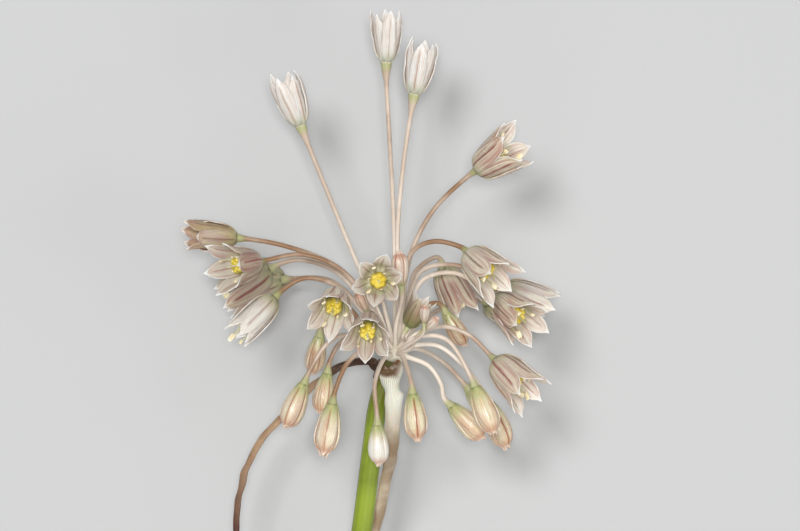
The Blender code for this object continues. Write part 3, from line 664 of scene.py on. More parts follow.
# "along" runs from 0 at the hub to 1 at the flower, "fromEnd" counts mm from the flower
stalkSkin = {
    "cloud": (3.0, 2.0),
    "streak": (0.7, 3.0),
    "fine": (0.14, 2.0),
    "pale": paint(242, 231, 219),
    "brown": paint(136, 98, 66),
    "leastTone": 0.12,
    "outer": (0.05, 0.8, 0.12, 1.0),
    "clouded": (0.3, 0.65, 0.8, 1.15),
    "red": paint(128, 78, 58),
    "reddened": (0.5, 0.75, 0.0, 0.35),
    "ribs": 7,
    "ribColour": paint(214, 200, 166),
    "ribbed": (-1.0, 1.0, 0.0, 0.14),
    "ribRise": 0.3,
    "cone": paint(168, 172, 122),
    "nearCone": (0.5, 1.5, 0.85, 0.0),
    "joint": paint(214, 206, 180),
    "nearJoint": (0.08, 0.2, 0.7, 0.0),
    "root": paint(214, 212, 184),
    "nearRoot": (0.0, 0.16, 0.4, 0.0),
    "rough": (0.36, 0.56),
    "depth": 0.02,
}


def makeStalkMaterial(name, skin):
    board = MaterialBoard(
        name, skin, Subsurface_Weight=0.12, Subsurface_Scale=0.0008, Subsurface_Radius=(1.0, 0.8, 0.5))
    tone, along, fromEnd, around = board.attributes("tone", "along", "fromEnd", "around")
    cloud, streak, fine = board.noises("cloud", "streak", "fine")
    browning = board.times(
        board.plus(tone, skin["leastTone"]), board.span(along, "outer"), board.span(cloud, "clouded"))
    board.firstCoat(browning, skin["pale"], skin["brown"])
    board.coat(board.span(streak, "reddened"), skin["red"], browning)
    ribs = board.ribs(around, skin["ribs"])
    board.coat(board.span(ribs, "ribbed"), skin["ribColour"])
    board.coat(board.span(fromEnd, "nearCone"), skin["cone"])
    board.coat(board.span(fromEnd, "nearJoint"), skin["joint"])
    board.coat(board.span(along, "nearRoot"), skin["root"])
    height = board.plus(board.times(ribs, skin["ribRise"]), fine)
    return board.finish(fine, skin["rough"], height, skin["depth"])


scapeSkin = {
    "cloud": (5.0, 3.0),
    "fine": (0.25, 3.0),
    "dark": paint(112, 130, 26),
    "light": paint(136, 154, 38),
    "clouded": (0.35, 0.65),
    # painted shade: the top of the scape, under the umbel and the valves, is olive-brown
    "top": paint(88, 78, 28),
    "nearTop": (0.01, 0.085, 0.9, 0.0),
    "ribs": 10,
    "ribColour": paint(166, 180, 88),
    "ribbed": (-1.0, 1.0, 0.0, 0.07),
    "ribRise": 0.5,
    "specks": paint(176, 184, 104),
    "specked": (0.6, 0.75, 0.0, 0.15),
    "cut": paint(186, 196, 128),
    "cutFrom": 0.9995,
    "rough": (0.32, 0.5),
    "depth": 0.03,
}


def makeScapeMaterial(name, skin):
    board = MaterialBoard(
        name, skin, Subsurface_Weight=0.1, Subsurface_Scale=0.0015, Subsurface_Radius=(0.6, 1.0, 0.3))
    along, around = board.attributes("along", "around")
    cloud, fine = board.noises("cloud", "fine")
    ribs = board.ribs(around, skin["ribs"])
    board.firstCoat(board.span(cloud, "clouded"), skin["dark"], skin["light"])
    # painted shade on the top of the scape under the umbel
    board.coat(board.span(along, "nearTop"), skin["top"])
    board.coat(board.span(ribs, "ribbed"), skin["ribColour"])
    board.coat(board.span(fine, "specked"), skin["specks"])
    board.coat(board.calc("GREATER_THAN", along, skin["cutFrom"]), skin["cut"])
    height = board.plus(board.times(ribs, skin["ribRise"]), fine)
    return board.finish(fine, skin["rough"], height, skin["depth"])


bractSkin = {
    "cloud": (2.6, 4.0),
    "patch": (0.9, 3.0),
    "fine": (0.2, 3.0),
    "wander": 0.16,
    "veinWidth": 0.55,
    "marked": (0.38, 0.7, 0.0, 0.5),
    "paintedShadePatches": (0.25, 0.5, 0.6, 1.0),
    "specked": (0.55, 0.75, 0.0, 0.06),
    "veinRise": 0.5,
    "fineRise": 0.4,
    "patchRise": 1.2,
    "rough": (0.45, 0.7),
    "depth": 0.06,
}
# where along the bract it turns darker, where the painted shade at its root, under the flowers, comes and
# goes, and on which side that starts
bractLooks = {
    "bractPale": {
        "light": paint(248, 241, 228), "dark": paint(152, 136, 108), "mark": paint(230, 219, 200),
        "vein": paint(146, 120, 90), "root": paint(104, 76, 42), "veins": 0.62, "count": 9,
        "turn": (0.09, 0.3), "paintedShadeStart": (-0.02, -0.01), "paintedShadeEnd": (0.026, 0.042, 1.0, 0.0),
        "paintedShadeSide": (-0.1, 0.4), "glow": 0.3,
    },
    "bractBrown": {
        "light": paint(184, 154, 120), "dark": paint(76, 38, 26), "mark": paint(142, 106, 78),
        "vein": paint(98, 66, 42), "root": paint(62, 42, 28), "veins": 0.4, "count": 5,
        "turn": (0.5, 0.85), "paintedShadeStart": (-0.1, 0.0), "paintedShadeEnd": (0.16, 0.36, 1.0, 0.0),
        "paintedShadeSide": (-1.8, -1.3), "glow": 0.1,
    },
}


def makeBractMaterial(name, look):
    skin = {**bractSkin, **look}
    board = MaterialBoard(name, skin, Subsurface_Weight=look["glow"], Subsurface_Scale=0.001)
    u, v, _ = board.uv()
    side = board.minus(board.times(u, 2.0), 1.0)
    cloud, patch, fine = board.noises("cloud", "patch", "fine")
    wander = board.plus(side, board.swing(cloud, skin["wander"]))
    veins = board.veinLines(wander, skin["count"], skin["veinWidth"])
    board.firstCoat(board.span(v, "turn"), skin["light"], skin["dark"])
    board.coat(board.span(cloud, "marked"), skin["mark"])
    board.coat(veins, skin["vein"], skin["veins"])
    # painted shade at the root of the bract, under the umbel, in patches
    root = board.times(board.span(v, "paintedShadeStart"), board.span(v, "paintedShadeEnd"), board.span(side, "paintedShadeSide"))
    board.coat(root, skin["root"], board.span(patch, "paintedShadePatches"))
    board.coat(board.span(fine, "specked"), skin["light"])
    height = board.plus(
        board.times(veins, skin["veinRise"]), board.times(fine, skin["fineRise"]),
        board.times(patch, skin["patchRise"]))
    return board.finish(fine, skin["rough"], height, skin["depth"])


stalkMaterial = makeStalkMaterial("stalk", stalkSkin)
scapeMaterial = makeScapeMaterial("scapeGreen", scapeSkin)
bractMaterials = {name: makeBractMaterial(name, look) for name, look in bractLooks.items()}
print("materials made")


# Tepals: six sheets round a bloom's axis, each along the profile curve of its stage

tepalSet = {
    "tepals": 6,
    "acrossPoints": 15,
    "alongPoints": 27,
    "crowding": 1.25,
    "thickness": 0.13,
    "whorlStep": 0.14,
    "keel": 0.09,
    "widen": 0.0,
    "waves": 3.2,
    "waveDetail": 2.0,
    # spans along a tepal, and the keel's across it
    "stepSpan": (0.0, 0.3),
    "ownSpan": (0.3, 0.85),
    "keelSide": (0.0, 0.22, 1.0, 0.0),
    "keelEnd": (0.8, 1.0, 1.0, 0.0),
    "waveSpan": (0.3, 0.6, 0.0, 2.0),
    "leanSpan": (0.15, 0.5),
    # how far a tepal strays outwards, round the axis in degrees and in length, and how a stage changes that
    "stray": ((-0.25, 0.35), (-6, 6), (-0.25, 0.15)),
    "strayTimes": (1.0, 1.0, 1.0),
    "flush": (0.15, 0.85),
    "flushStray": 0.4,
    # so that no two tepals share their marks
    "lotOfBloom": 10.0,
    "lotOfTepal": 1.7,
}
# rows: distance from the axis, height and half width. "split" is where along them the tepals part,
# "curl" the radius across a free tepal, "ownCurve" how far it takes that radius, "ripple" how deep its
# sides wave and "widen" how much wider the outer tepals are.
stages = {
    "open": {
        "rows": (
            (0.6, 0.0, 0.5), (1.45, 0.66, 0.95), (1.92, 2.0, 1.2), (2.26, 3.5, 1.27),
            (2.62, 4.65, 1.08), (2.92, 5.32, 0.66), (3.08, 5.72, 0.27), (3.2, 6.15, 0.04)),
        "split": 0.42, "curl": 1.6, "ownCurve": 0.9, "ripple": 0.2,
    },
    "wide": {
        "rows": (
            (0.6, 0.0, 0.5), (1.43, 0.66, 0.93), (1.9, 2.0, 1.18), (2.15, 3.5, 1.24),
            (2.38, 4.7, 1.04), (2.6, 5.4, 0.62), (2.7, 5.8, 0.26), (2.8, 6.2, 0.04)),
        "split": 0.45, "curl": 1.5, "ownCurve": 0.85, "ripple": 0.2,
    },
    "half": {
        "rows": (
            (0.6, 0.0, 0.5), (1.38, 0.64, 0.92), (1.86, 2.0, 1.14), (2.06, 3.5, 1.18),
            (2.2, 4.75, 1.0), (2.32, 5.5, 0.62), (2.4, 5.9, 0.24), (2.5, 6.35, 0.04)),
        "split": 0.5, "curl": 1.4, "ownCurve": 0.8, "ripple": 0.18,
    },
    "slim": {
        "rows": (
            (0.6, 0.0, 0.48), (1.16, 0.64, 0.84), (1.46, 2.0, 1.02), (1.56, 3.6, 1.04),
            (1.56, 4.9, 0.86), (1.56, 5.6, 0.54), (1.6, 6.0, 0.24), (1.68, 6.45, 0.04)),
        "split": 0.56, "curl": 1.3, "ownCurve": 0.6, "ripple": 0.1,
    },
    "closing": {
        "rows": (
            (0.55, 0.0, 0.44), (1.12, 0.62, 0.8), (1.48, 2.0, 1.0), (1.62, 3.6, 1.0),
            (1.66, 4.8, 0.88), (1.68, 5.5, 0.64), (1.68, 5.9, 0.36), (1.7, 6.35, 0.06)),
        "split": 0.58, "curl": 1.0, "ownCurve": 0.9, "ripple": 0.6, "strayTimes": (1.0, 2.0, 1.0),
    },
    "old": {
        "rows": (
            (0.5, 0.0, 0.4), (1.0, 0.62, 0.72), (1.42, 2.0, 0.96), (1.7, 3.6, 1.0),
            (1.8, 4.85, 0.86), (1.77, 5.45, 0.6), (1.7, 5.9, 0.28), (1.58, 6.35, 0.04)),
        "split": 0.58, "curl": 1.0, "ownCurve": 0.9, "ripple": 0.4, "strayTimes": (1.0, 1.5, 2.0),
    },
    "bud": {
        "rows": (
            (0.5, 0.0, 0.36), (0.68, 0.58, 0.56), (0.98, 1.7, 0.84), (1.13, 3.0, 0.92),
            (0.94, 3.95, 0.7), (0.62, 4.36, 0.4), (0.36, 4.6, 0.2), (0.27, 4.92, 0.05)),
        "split": 0.9, "curl": 1.0, "ownCurve": 0.0, "ripple": 0.04, "strayTimes": (0.25, 0.5, 0.9),
        "widen": 0.15, "whorlStep": 0.05, "keel": 0.036,
    },
}


def makeTepalTree(sizes):
    board = GeometryBoard("tepalWhorls", sizes, (
        ("Profile", "Object"), ("Split", "Float"), ("Whorl step", "Float"), ("Curl", "Float"),
        ("Own curve", "Float"), ("Ripple", "Float"), ("Keel", "Float"), ("Widen", "Float"),
        ("Material", "Material")))
    entry = board.entry
    sheet = board.add("GeometryNodeMeshGrid", {
        "Size X": 2.0, "Size Y": 1.0, "Vertices X": sizes["acrossPoints"],
        "Vertices Y": sizes["alongPoints"]}).outputs["Mesh"]
    gridX, gridY, _ = board.parts(board.add("GeometryNodeInputPosition").outputs[0])
    fromTip = board.calc("POWER", board.minus(0.5, gridY), sizes["crowding"])
    sheet = board.store(sheet, "across", gridX)
    sheet = board.store(sheet, "along", board.minus(1.0, fromTip))
    whorls = board.copies(sheet)
    across, along, whorl = (board.named(name) for name in ("across", "along", "whorl"))

    # the profile curve gives the middle line, its tangent and the half width there
    profile = board.add("GeometryNodeObjectInfo", {"Object": entry["Profile"]}).outputs["Geometry"]
    sampled = board.add("GeometryNodeSampleCurve", {
        "Curves": profile, "Factor": along,
        "Value": board.add("GeometryNodeInputRadius").outputs[0]}, mode="FACTOR")
    halfWidth = board.times(sampled.outputs[0], board.plus(1.0, board.times(whorl, entry["Widen"])))
    middleX, _, middleZ = board.parts(sampled.outputs["Position"])
    tangentX, _, tangentZ = board.parts(sampled.outputs["Tangent"])

    # past the split each tepal has its own flare, length and turn
    past = board.calc("DIVIDE", board.minus(along, entry["Split"]), board.minus(1.0, entry["Split"]))
    past = board.calc("MINIMUM", board.calc("MAXIMUM", past, 0.0), 1.0)
    pastSquared = board.times(past, past)
    step = board.times(whorl, entry["Whorl step"], board.span(along, "stepSpan"))
    distance = board.plus(middleX, step, board.times(board.named("flare"), pastSquared))
    height = board.plus(middleZ, board.times(board.named("lengthen"), past))

    # across it is an arc: round the bloom's axis below, tighter above
    own = board.times(board.span(along, "ownSpan"), entry["Own curve"])
    bend = board.blend(own, distance, entry["Curl"])
    angle = board.calc("DIVIDE", board.times(across, halfWidth), bend)
    sideways = board.times(bend, board.calc("SINE", angle))
    sunk = board.times(bend, board.minus(1.0, board.calc("COSINE", angle)))
    offSide = board.calc("ABSOLUTE", across)
    ridge = board.times(board.span(offSide, "keelSide"), entry["Keel"], board.span(along, "keelEnd"))
    place = board.vector(
        board.calc("SIGN", across), board.times(along, sizes["waves"]), board.named("lot"))
    wave = board.swing(board.noiseAt(place, 1.0, sizes["waveDetail"]), entry["Ripple"])
    wave = board.times(wave, board.calc("POWER", offSide, 2.0), board.span(along, "waveSpan"))
    inward = board.plus(board.minus(sunk, ridge), wave)
    lean = board.span(along, "leanSpan")
    outX = board.blend(lean, -1.0, board.times(tangentZ, -1.0))
    outZ = board.blend(lean, 0.0, tangentX)
    point = board.vector(
        board.plus(distance, board.times(outX, inward)), sideways,
        board.plus(height, board.times(outZ, inward)))

    turn = board.plus(board.named("seat"), board.times(board.named("sideTurn"), pastSquared))
    turned = board.add("ShaderNodeVectorRotate", {"Vector": point, "Angle": turn}, rotation_type="Z_AXIS")
    shaped = board.moved(whorls, turned.outputs[0])
    flat = board.vector(board.plus(board.times(across, 0.5), 0.5), along, 0.0)
    shaped = board.store(shaped, "UVMap", flat, "FLOAT2", "CORNER")
    return board.finish(board.dressed(shaped, "Material"))


# The profile curve of a stage: its points carry the half width as their radius
def profileCurve(stage):
    pointsAlong = 40
    path = through(stages[stage]["rows"], pointsAlong) * mm
    curve = bpy.data.curves.new("profile_" + stage, "CURVE")
    curve.dimensions = "3D"
    spline = curve.splines.new("POLY")
    spline.points.add(len(path) - 1)
    for point, (distance, height, halfWidth) in zip(spline.points, path):
        point.co = (distance, 0.0, height, 1.0)
        point.radius = halfWidth
    return inScene(curve.name, curve)


def bloomMatrix(base, axis, turn, size):
    matrix = Matrix([list(row) for row in bloomFrame(axis, turn) * size]).to_4x4()
    matrix.translation = Vector((np.asarray(base) + hub) * mm)
    return matrix


# What would reach below the surface is pressed flat on it; deeper points stay a trace above shallow ones
def pressFlat(mesh):
    gap, traceShare, deepest = 0.02 * mm, 0.02, 1.0 * mm
    for vertex in mesh.vertices:
        if vertex.co.z < gap:
            vertex.co.z = gap + traceShare * min(-vertex.co.z, deepest)


tepalTree = makeTepalTree(tepalSet)
profiles = {stage: profileCurve(stage) for stage in stages}
outsideOf = {
    "closing": "wiltingTepal", "old": "oldTepal", "bud": "budTepal", "flower_14": "youngTepal",
    "bud_01": "rosyTepal", "bud_12": "rosyTepal", "bud_13": "rosyTepal", "bud_14": "rosyTepal",
}
insideOf = {"old": "oldTepal", "bud": "budTepal", "closing": "wiltingTepal"}
slotOf = {"closing": "old_tepal", "old": "old_tepal", "bud": "bud"}
# lighter than its kind or, below zero, darker with painted shade, as on flowers lying behind others
usualPaleness = 0.1
palenessAndShade = {
    "flower_01": 0.0, "flower_03": -0.42, "flower_04": -0.28, "flower_05": 0.9, "flower_08": -0.28,
    "flower_09": 0.15, "flower_10": -0.05, "flower_11": 0.6, "flower_12": 0.15, "flower_13": -0.22,
    "flower_14": 0.0, "bud_01": 0.6, "bud_02": -0.1, "bud_03": 0.3, "bud_04": 0.0, "bud_05": 0.3,
    "bud_06": -0.25, "bud_07": 1.45, "bud_12": -0.15, "bud_13": 0.9, "bud_14": 0.9,
}
# how much nearer its axis the tips of a flower are than those of its stage
narrowBy = {"flower_01": 0.5}
# the closing flower has a short pale tepal in front, the others are longer and dull
closingTepals = {
    "lengthen": (-0.5, -1.6, 0.1, -0.7, 0.2, -0.3),
    "flare": (0.5, 0.45, 0.35, -0.3, 0.4, -0.2),
    "pale": (0.1, 0.35, -0.2, -0.1, -0.15, 0.0),
}


# The seats of a bloom's tepals with what each of them has of its own
def tepalSeats(seed, name, stage, sizes):
    draw = random.Random(seed)
    seats = Seats()
    for k in range(sizes["tepals"]):
        drawn = [draw.uniform(*limits) for limits in sizes["stray"]]
        flare, sideTurn, lengthen = (value * times for value, times in zip(drawn, sizes["strayTimes"]))
        if stage == "closing":
            flare, lengthen = closingTepals["flare"][k], closingTepals["lengthen"][k]
        flare -= narrowBy.get(name, 0.0)
        seats.points.append((0, 0, 0))
        seats.note(
            seat=[2 * math.pi * k / sizes["tepals"]], whorl=[1.0 if k % 2 else -1.0], flare=[flare * mm],
            sideTurn=[math.radians(sideTurn)], lengthen=[lengthen * mm],
            lot=[seed * sizes["lotOfBloom"] + k * sizes["lotOfTepal"]])
    flush = draw.uniform(*sizes["flush"])
    stray = sizes["flushStray"]
    for k in range(sizes["tepals"]):
        pale = closingTepals["pale"][k] if stage == "closing" else palenessAndShade.get(name, usualPaleness)
        seats.note(flush=[min(max(flush + draw.uniform(-stray, stray), 0.0), 1.0)], pale=[pale])
    return seats


def makeTepals(seed, name, stage, matrix):
    sizes = {**tepalSet, **stages[stage]}
    base = tepalSeats(seed, name, stage, sizes).mesh(name + "_sheets")
    outside = tepalMaterials[outsideOf.get(name, outsideOf.get(stage, "tepalOutside"))]
    inside = tepalMaterials[insideOf.get(stage, "tepalInside")]
    piece = grown(name + "_sheets", base, tepalTree, {
        "Profile": profiles[stage], "Split": sizes["split"], "Whorl step": sizes["whorlStep"] * mm,
        "Curl": sizes["curl"] * mm, "Own curve": sizes["ownCurve"], "Ripple": sizes["ripple"] * mm,
        "Keel": sizes["keel"] * mm, "Widen": sizes["widen"], "Material": outside})
    piece.data.materials.append(inside)
    thicken(piece, sizes["thickness"], backMaterial=1)
    piece.data.transform(matrix)
    pressFlat(piece.data)
    return piece


# Pistil: lobed ovary, style and six stamens

pistilSet = {
    "ovaryRadius": 1.08,
    "ovaryHeight": (1.4, 3.95),
    "ovaryParts": (48, 26),
    "boxiness": 0.62,
    "lobes": 6,
    "lobeDepth": 0.06,
    "bumpScale": 5.0,
    "bumpDepth": 0.12,
    # spans from the foot of the ovary, -1, to its top, 1
    "crown": (0.2, 0.9, 0.0, 0.04),
    "dimple": (0.86, 1.0, 0.0, -0.16),
    "stylePath": ((0, 0, 3.2), (0.02, 0.03, 4.0), (0.06, -0.02, 4.85)),
    "styleRadius": 0.13,
    "styleGirth": ((0, 0.8, 0.9, 1), (1.2, 0.9, 1.25, 1.0)),
    # a filament's distance from the axis and height at its foot and at its shoulder
    "foot": (0.85, 1.0),
    "shoulder": (1.2, 1.9),
    # above that it bends to its tip: how far outside the tip, its height as a share of the top and a rest
    "bendOut": 0.06,
    "bendHeight": (0.45, 1.4),
    "tipBelow": 0.1,
    "filamentGirth": ((0, 0.3, 0.7, 1), (0.27, 0.16, 0.12, 0.09)),
    "filamentSides": 8,
    "anther": (0.19, 0.17, 0.5),
    "antherParts": (12, 9),
    "antherApart": 0.12,
    "antherTilt": 0.4,
    "antherOut": 0.25,
    "share": {"open": 1.0, "wide": 1.0, "half": 1.0, "slim": 0.84},
    # a short stamen and a tall one of each stage, by turns
    "spread": {"open": (1.15, 1.8), "wide": (1.08, 1.5), "half": (1.0, 1.1), "slim": (0.78, 0.78)},
    "top": {"open": (3.6, 4.9), "wide": (3.6, 4.9), "half": (3.7, 5.3), "slim": (5.0, 6.9)},
    # how far a stamen strays round the axis in radians, outwards and in height
    "turnStray": 0.08,
    "spreadStray": (-0.1, 0.06),
    "topStray": (-0.3, 0.2),
    "unripe": 0.55,
    "unripeLower": 0.4,
    "stamens": 6,
    "stamenPoints": 12,
    "stylePoints": 8,
    "seedStep": 500,
}
# how many of the three tall stamens are ripe
usualRipe = 2
ripeStamens = {"flower_03": 0, "flower_06": 3, "flower_07": 3, "flower_08": 1, "flower_14": 0}


def makePistilTree(sizes):
    board = GeometryBoard("pistil", sizes, (
        ("Ovary radius", "Float"), ("Ovary foot", "Float"), ("Ovary top", "Float"),
        ("Ovary material", "Material"), ("Filament material", "Material"), ("Anther material", "Material")))
    entry = board.entry
    ball = board.ball(*sizes["ovaryParts"], 1.0)
    position = board.add("GeometryNodeInputPosition").outputs[0]
    x, y, z = board.parts(position)
    angle = board.calc("ARCTAN2", y, x)
    lobe = board.calc("COSINE", board.times(angle, float(sizes["lobes"])))
    ring = board.calc("SQRT", board.calc("MAXIMUM", board.minus(1.0, board.times(z, z)), 0.0))
    nearlyNothing = 0.0001
    boxy = board.calc("POWER", board.calc("MAXIMUM", ring, nearlyNothing), sizes["boxiness"])
    bumps = board.swing(board.noiseAt(position, sizes["bumpScale"], detail=2.0), sizes["bumpDepth"])
    swell = board.plus(1.0, board.times(lobe, sizes["lobeDepth"]), bumps)
    reach = board.times(boxy, swell, entry["Ovary radius"])
    rise = board.plus(board.times(z, 0.5), 0.5)
    crowned = board.plus(rise, board.times(board.span(z, "crown"), lobe), board.span(z, "dimple"))
    tall = board.minus(entry["Ovary top"], entry["Ovary foot"])
    point = board.vector(
        board.times(board.calc("COSINE", angle), reach), board.times(board.calc("SINE", angle), reach),
        board.plus(entry["Ovary foot"], board.times(crowned, tall)))
    ball = board.store(ball, "lobe", lobe)
    ball = board.store(ball, "rise", rise)
    ovary = board.dressed(board.moved(ball, point), "Ovary material")
    threads = board.dressed(board.tubes(board.circle(sizes["filamentSides"])), "Filament material")

    # an anther has two halves side by side and grows with its seat's number
    half = board.ball(*sizes["antherParts"], mm)
    apart = sizes["antherApart"] * mm
    pair = board.joined(*(board.shifted(half, (side * apart, 0, 0), sizes["anther"]) for side in (-1, 1)))
    aim = board.named("aim", "FLOAT_VECTOR")
    aimed = board.add("FunctionNodeAlignRotationToVector", {"Vector": aim}, axis="Z").outputs[0]
    share = board.named("seat")
    anthers = board.copies(
        pair, Selection=board.calc("GREATER_THAN", share, 0.5), Rotation=aimed,
        Scale=board.vector(share, share, share))
    return board.finish(board.joined(ovary, threads, board.dressed(anthers, "Anther material")))


pistilTree = makePistilTree(pistilSet)


# A filament or style: girth is given at shares of its length, and only its tip may hold an anther
def addThread(seats, path, girth, radius, anther, aim):
    thickness = np.interp(np.linspace(0, 1, len(path)), *girth) * radius
    seats.addLine(
        path * mm, girth=thickness * mm, seat=[0.0] * (len(path) - 1) + [anther], aim=[aim] * len(path))


def makePistil(seed, name, stage, matrix):
    sizes = pistilSet
    draw = random.Random(seed + sizes["seedStep"])
    share = sizes["share"][stage]
    seats = Seats()
    up = np.array((0.0, 0.0, 1.0))
    for k in range(sizes["stamens"]):
        angle = 2 * math.pi * (k + 0.5) / sizes["stamens"]
        angle += draw.uniform(-sizes["turnStray"], sizes["turnStray"])
        tall = k % 2
        ripe = tall and k // 2 < ripeStamens.get(name, usualRipe)
        reach = sizes["spread"][stage][tall] + draw.uniform(*sizes["spreadStray"])
        top = sizes["top"][stage][tall] + draw.uniform(*sizes["topStray"])
        if tall and not ripe:
            top -= sizes["unripeLower"]
        way = np.array((math.cos(angle), math.sin(angle), 0.0))
        lower = [way * out * share + up * height for out, height in (sizes["foot"], sizes["shoulder"])]
        topShare, rest = sizes["bendHeight"]
        bend = way * (reach + sizes["bendOut"]) + up * (topShare * top + rest)
        knots = [*lower, bend, way * reach + up * (top - sizes["tipBelow"])]
        tilt = [draw.uniform(-sizes["antherTilt"], sizes["antherTilt"]) for _ in range(2)]
        lean = unit(way * sizes["antherOut"] + up + np.array((*tilt, 0.0)))
        path = through(knots, sizes["stamenPoints"])
        addThread(seats, path, sizes["filamentGirth"], 1.0, 1.0 if ripe else sizes["unripe"], lean)
    path = through(sizes["stylePath"], sizes["stylePoints"])
    addThread(seats, path, sizes["styleGirth"], sizes["styleRadius"], 0.0, up)
    low, high = sizes["ovaryHeight"]
    piece = grown(name + "_heart", seats.mesh(name + "_heart"), pistilTree, {
        "Ovary radius": sizes["ovaryRadius"] * share * mm, "Ovary foot": low * mm, "Ovary top": high * mm,
        "Ovary material": ovaryMaterial, "Filament material": grainMaterials["filament"],
        "Anther material": grainMaterials["anther"]})
    piece.data.transform(matrix)
    return piece


for seed, (name, stage, base, axis, turn, size, _, _) in enumerate(blooms, start=1):
    matrix = bloomMatrix(base, axis, turn, size)
    node = name if stage == "bud" else name + "_tepals"
    settle(makeTepals(seed, name, stage, matrix), slotOf.get(stage, "tepal"), node)
    if stage in pistilSet["spread"]:
        settle(makePistil(seed, name, stage, matrix), "pistil", name + "_pistil")
for holder in profiles.values():
    bpy.data.objects.remove(holder, do_unlink=True)
print("blooms made:", len(blooms))


# Stalks and scape: tubes along their paths

stalkSet = {
    "radius": 0.27,
    # a stalk is thicker the browner and the larger it is
    "byTone": (0.9, 0.14),
    "bySize": (0.5, 0.5),
    "rootRadius": 0.34,
    "rootDepth": 0.85,
    "rootReach": 1.5,
    "coneRadius": 0.57,
    "oldConeRadius": 0.68,
    "coneReach": 0.85,
    "oldConeReach": 1.5,
    "coneShape": 1.9,
    "lead": 1.3,
    "intoBloom": 0.12,
    "sides": 12,
    "points": 44,
    "receptacle": (1.45, 1.25, 1.35),
    "receptacleParts": (24, 16),
    # far enough from the end of a stalk to have none of its green
    "receptacleFromEnd": 5.0,
}
scapeSet = {
    "path": ((-0.3, -0.9, -0.15), (-0.55, -1.6, -0.3), (-1.9, -5.6, -1.0), (-2.6, -10.5, -1.9),
             (-3.9, -21.0, -3.9), (-7.4, -45.0, -8.4), (-12.6, -74.0, -13.7), (-16.0, -90.0, -16.55)),
    "topRadius": 1.05,
    "cutRadius": 1.35,
    # how soon along the scape it has its full thickness
    "swelling": 2.2,
    "sides": 32,
    "points": 70,
}


def makeTubeTree(name, sizes, withKnob):
    inputs = [("Sides", "Int"), ("Material", "Material")]
    if withKnob:
        inputs += [("Knob place", "Vector"), ("Knob size", "Vector")]
    board = GeometryBoard(name, sizes, inputs)
    entry = board.entry
    around = board.add("GeometryNodeSplineParameter").outputs["Factor"]
    made = board.tubes(board.store(board.circle(entry["Sides"]), "around", around))
    if withKnob:
        ball = board.ball(*sizes["receptacleParts"], 1.0)
        knob = board.shifted(ball, entry["Knob place"], entry["Knob size"])
        made = board.joined(made, board.store(knob, "fromEnd", sizes["receptacleFromEnd"]))
    whole = board.add("GeometryNodeRealizeInstances", {"Geometry": made}).outputs[0]
    return board.finish(board.dressed(whole, "Material"))


def makeStalks(sizes):
    seats = Seats()
    for _, stage, base, axis, _, size, tone, passed in blooms:
        axis, base = unit(axis), np.asarray(base)
        knots = [
            unit(passed[0]) * sizes["rootDepth"], *passed, base - axis * sizes["lead"],
            base + axis * sizes["intoBloom"]]
        path = through(knots, sizes["points"])
        lengths = runLengths(path)
        left = lengths[-1] - lengths
        small = min(size, 1.0)
        (leastTone, moreTone), (leastSize, moreSize) = sizes["byTone"], sizes["bySize"]
        thin = sizes["radius"] * (leastTone + moreTone * tone) * (leastSize + moreSize * small)
        old = stage == "old"
        wide = max(sizes["oldConeRadius"] if old else sizes["coneRadius"] * small, thin)
        reach = sizes["oldConeReach"] if old else sizes["coneReach"]
        cone = (wide - thin) * np.exp(-((left / reach) ** sizes["coneShape"]))
        root = (sizes["rootRadius"] - thin) * np.exp(-lengths / sizes["rootReach"])
        seats.addLine(
            (path + hub) * mm, girth=(thin + cone + root) * mm, tone=[tone] * len(path),
            along=lengths / lengths[-1], fromEnd=left)
    base = seats.mesh("umbel_stalks_tubes")
    return grown("umbel_stalks_tubes", base, makeTubeTree("stalkTubes", sizes, True), {
        "Sides": sizes["sides"], "Material": stalkMaterial, "Knob place": tuple(hub * mm),
        "Knob size": tuple(value * mm for value in sizes["receptacle"])})


def makeScape(sizes):
    path = through(sizes["path"], sizes["points"])
    share = np.linspace(0, 1, len(path))
    swelling = (sizes["cutRadius"] - sizes["topRadius"]) * np.minimum(share * sizes["swelling"], 1)
    seats = Seats()
    seats.addLine((path + hub) * mm, girth=(sizes["topRadius"] + swelling) * mm, along=share)
    piece = grown("scape_tube", seats.mesh("scape_tube"), makeTubeTree("scapeTube", sizes, False), {
        "Sides": sizes["sides"], "Material": scapeMaterial})
    pressFlat(piece.data)
    return piece


settle(makeStalks(stalkSet), "pedicel", "umbel_stalks")
settle(makeScape(scapeSet), "scape", "scape")
print("stalks and scape made")


# Spathe valves: papery sheets bent to an arc across, wrapped round the top of the scape

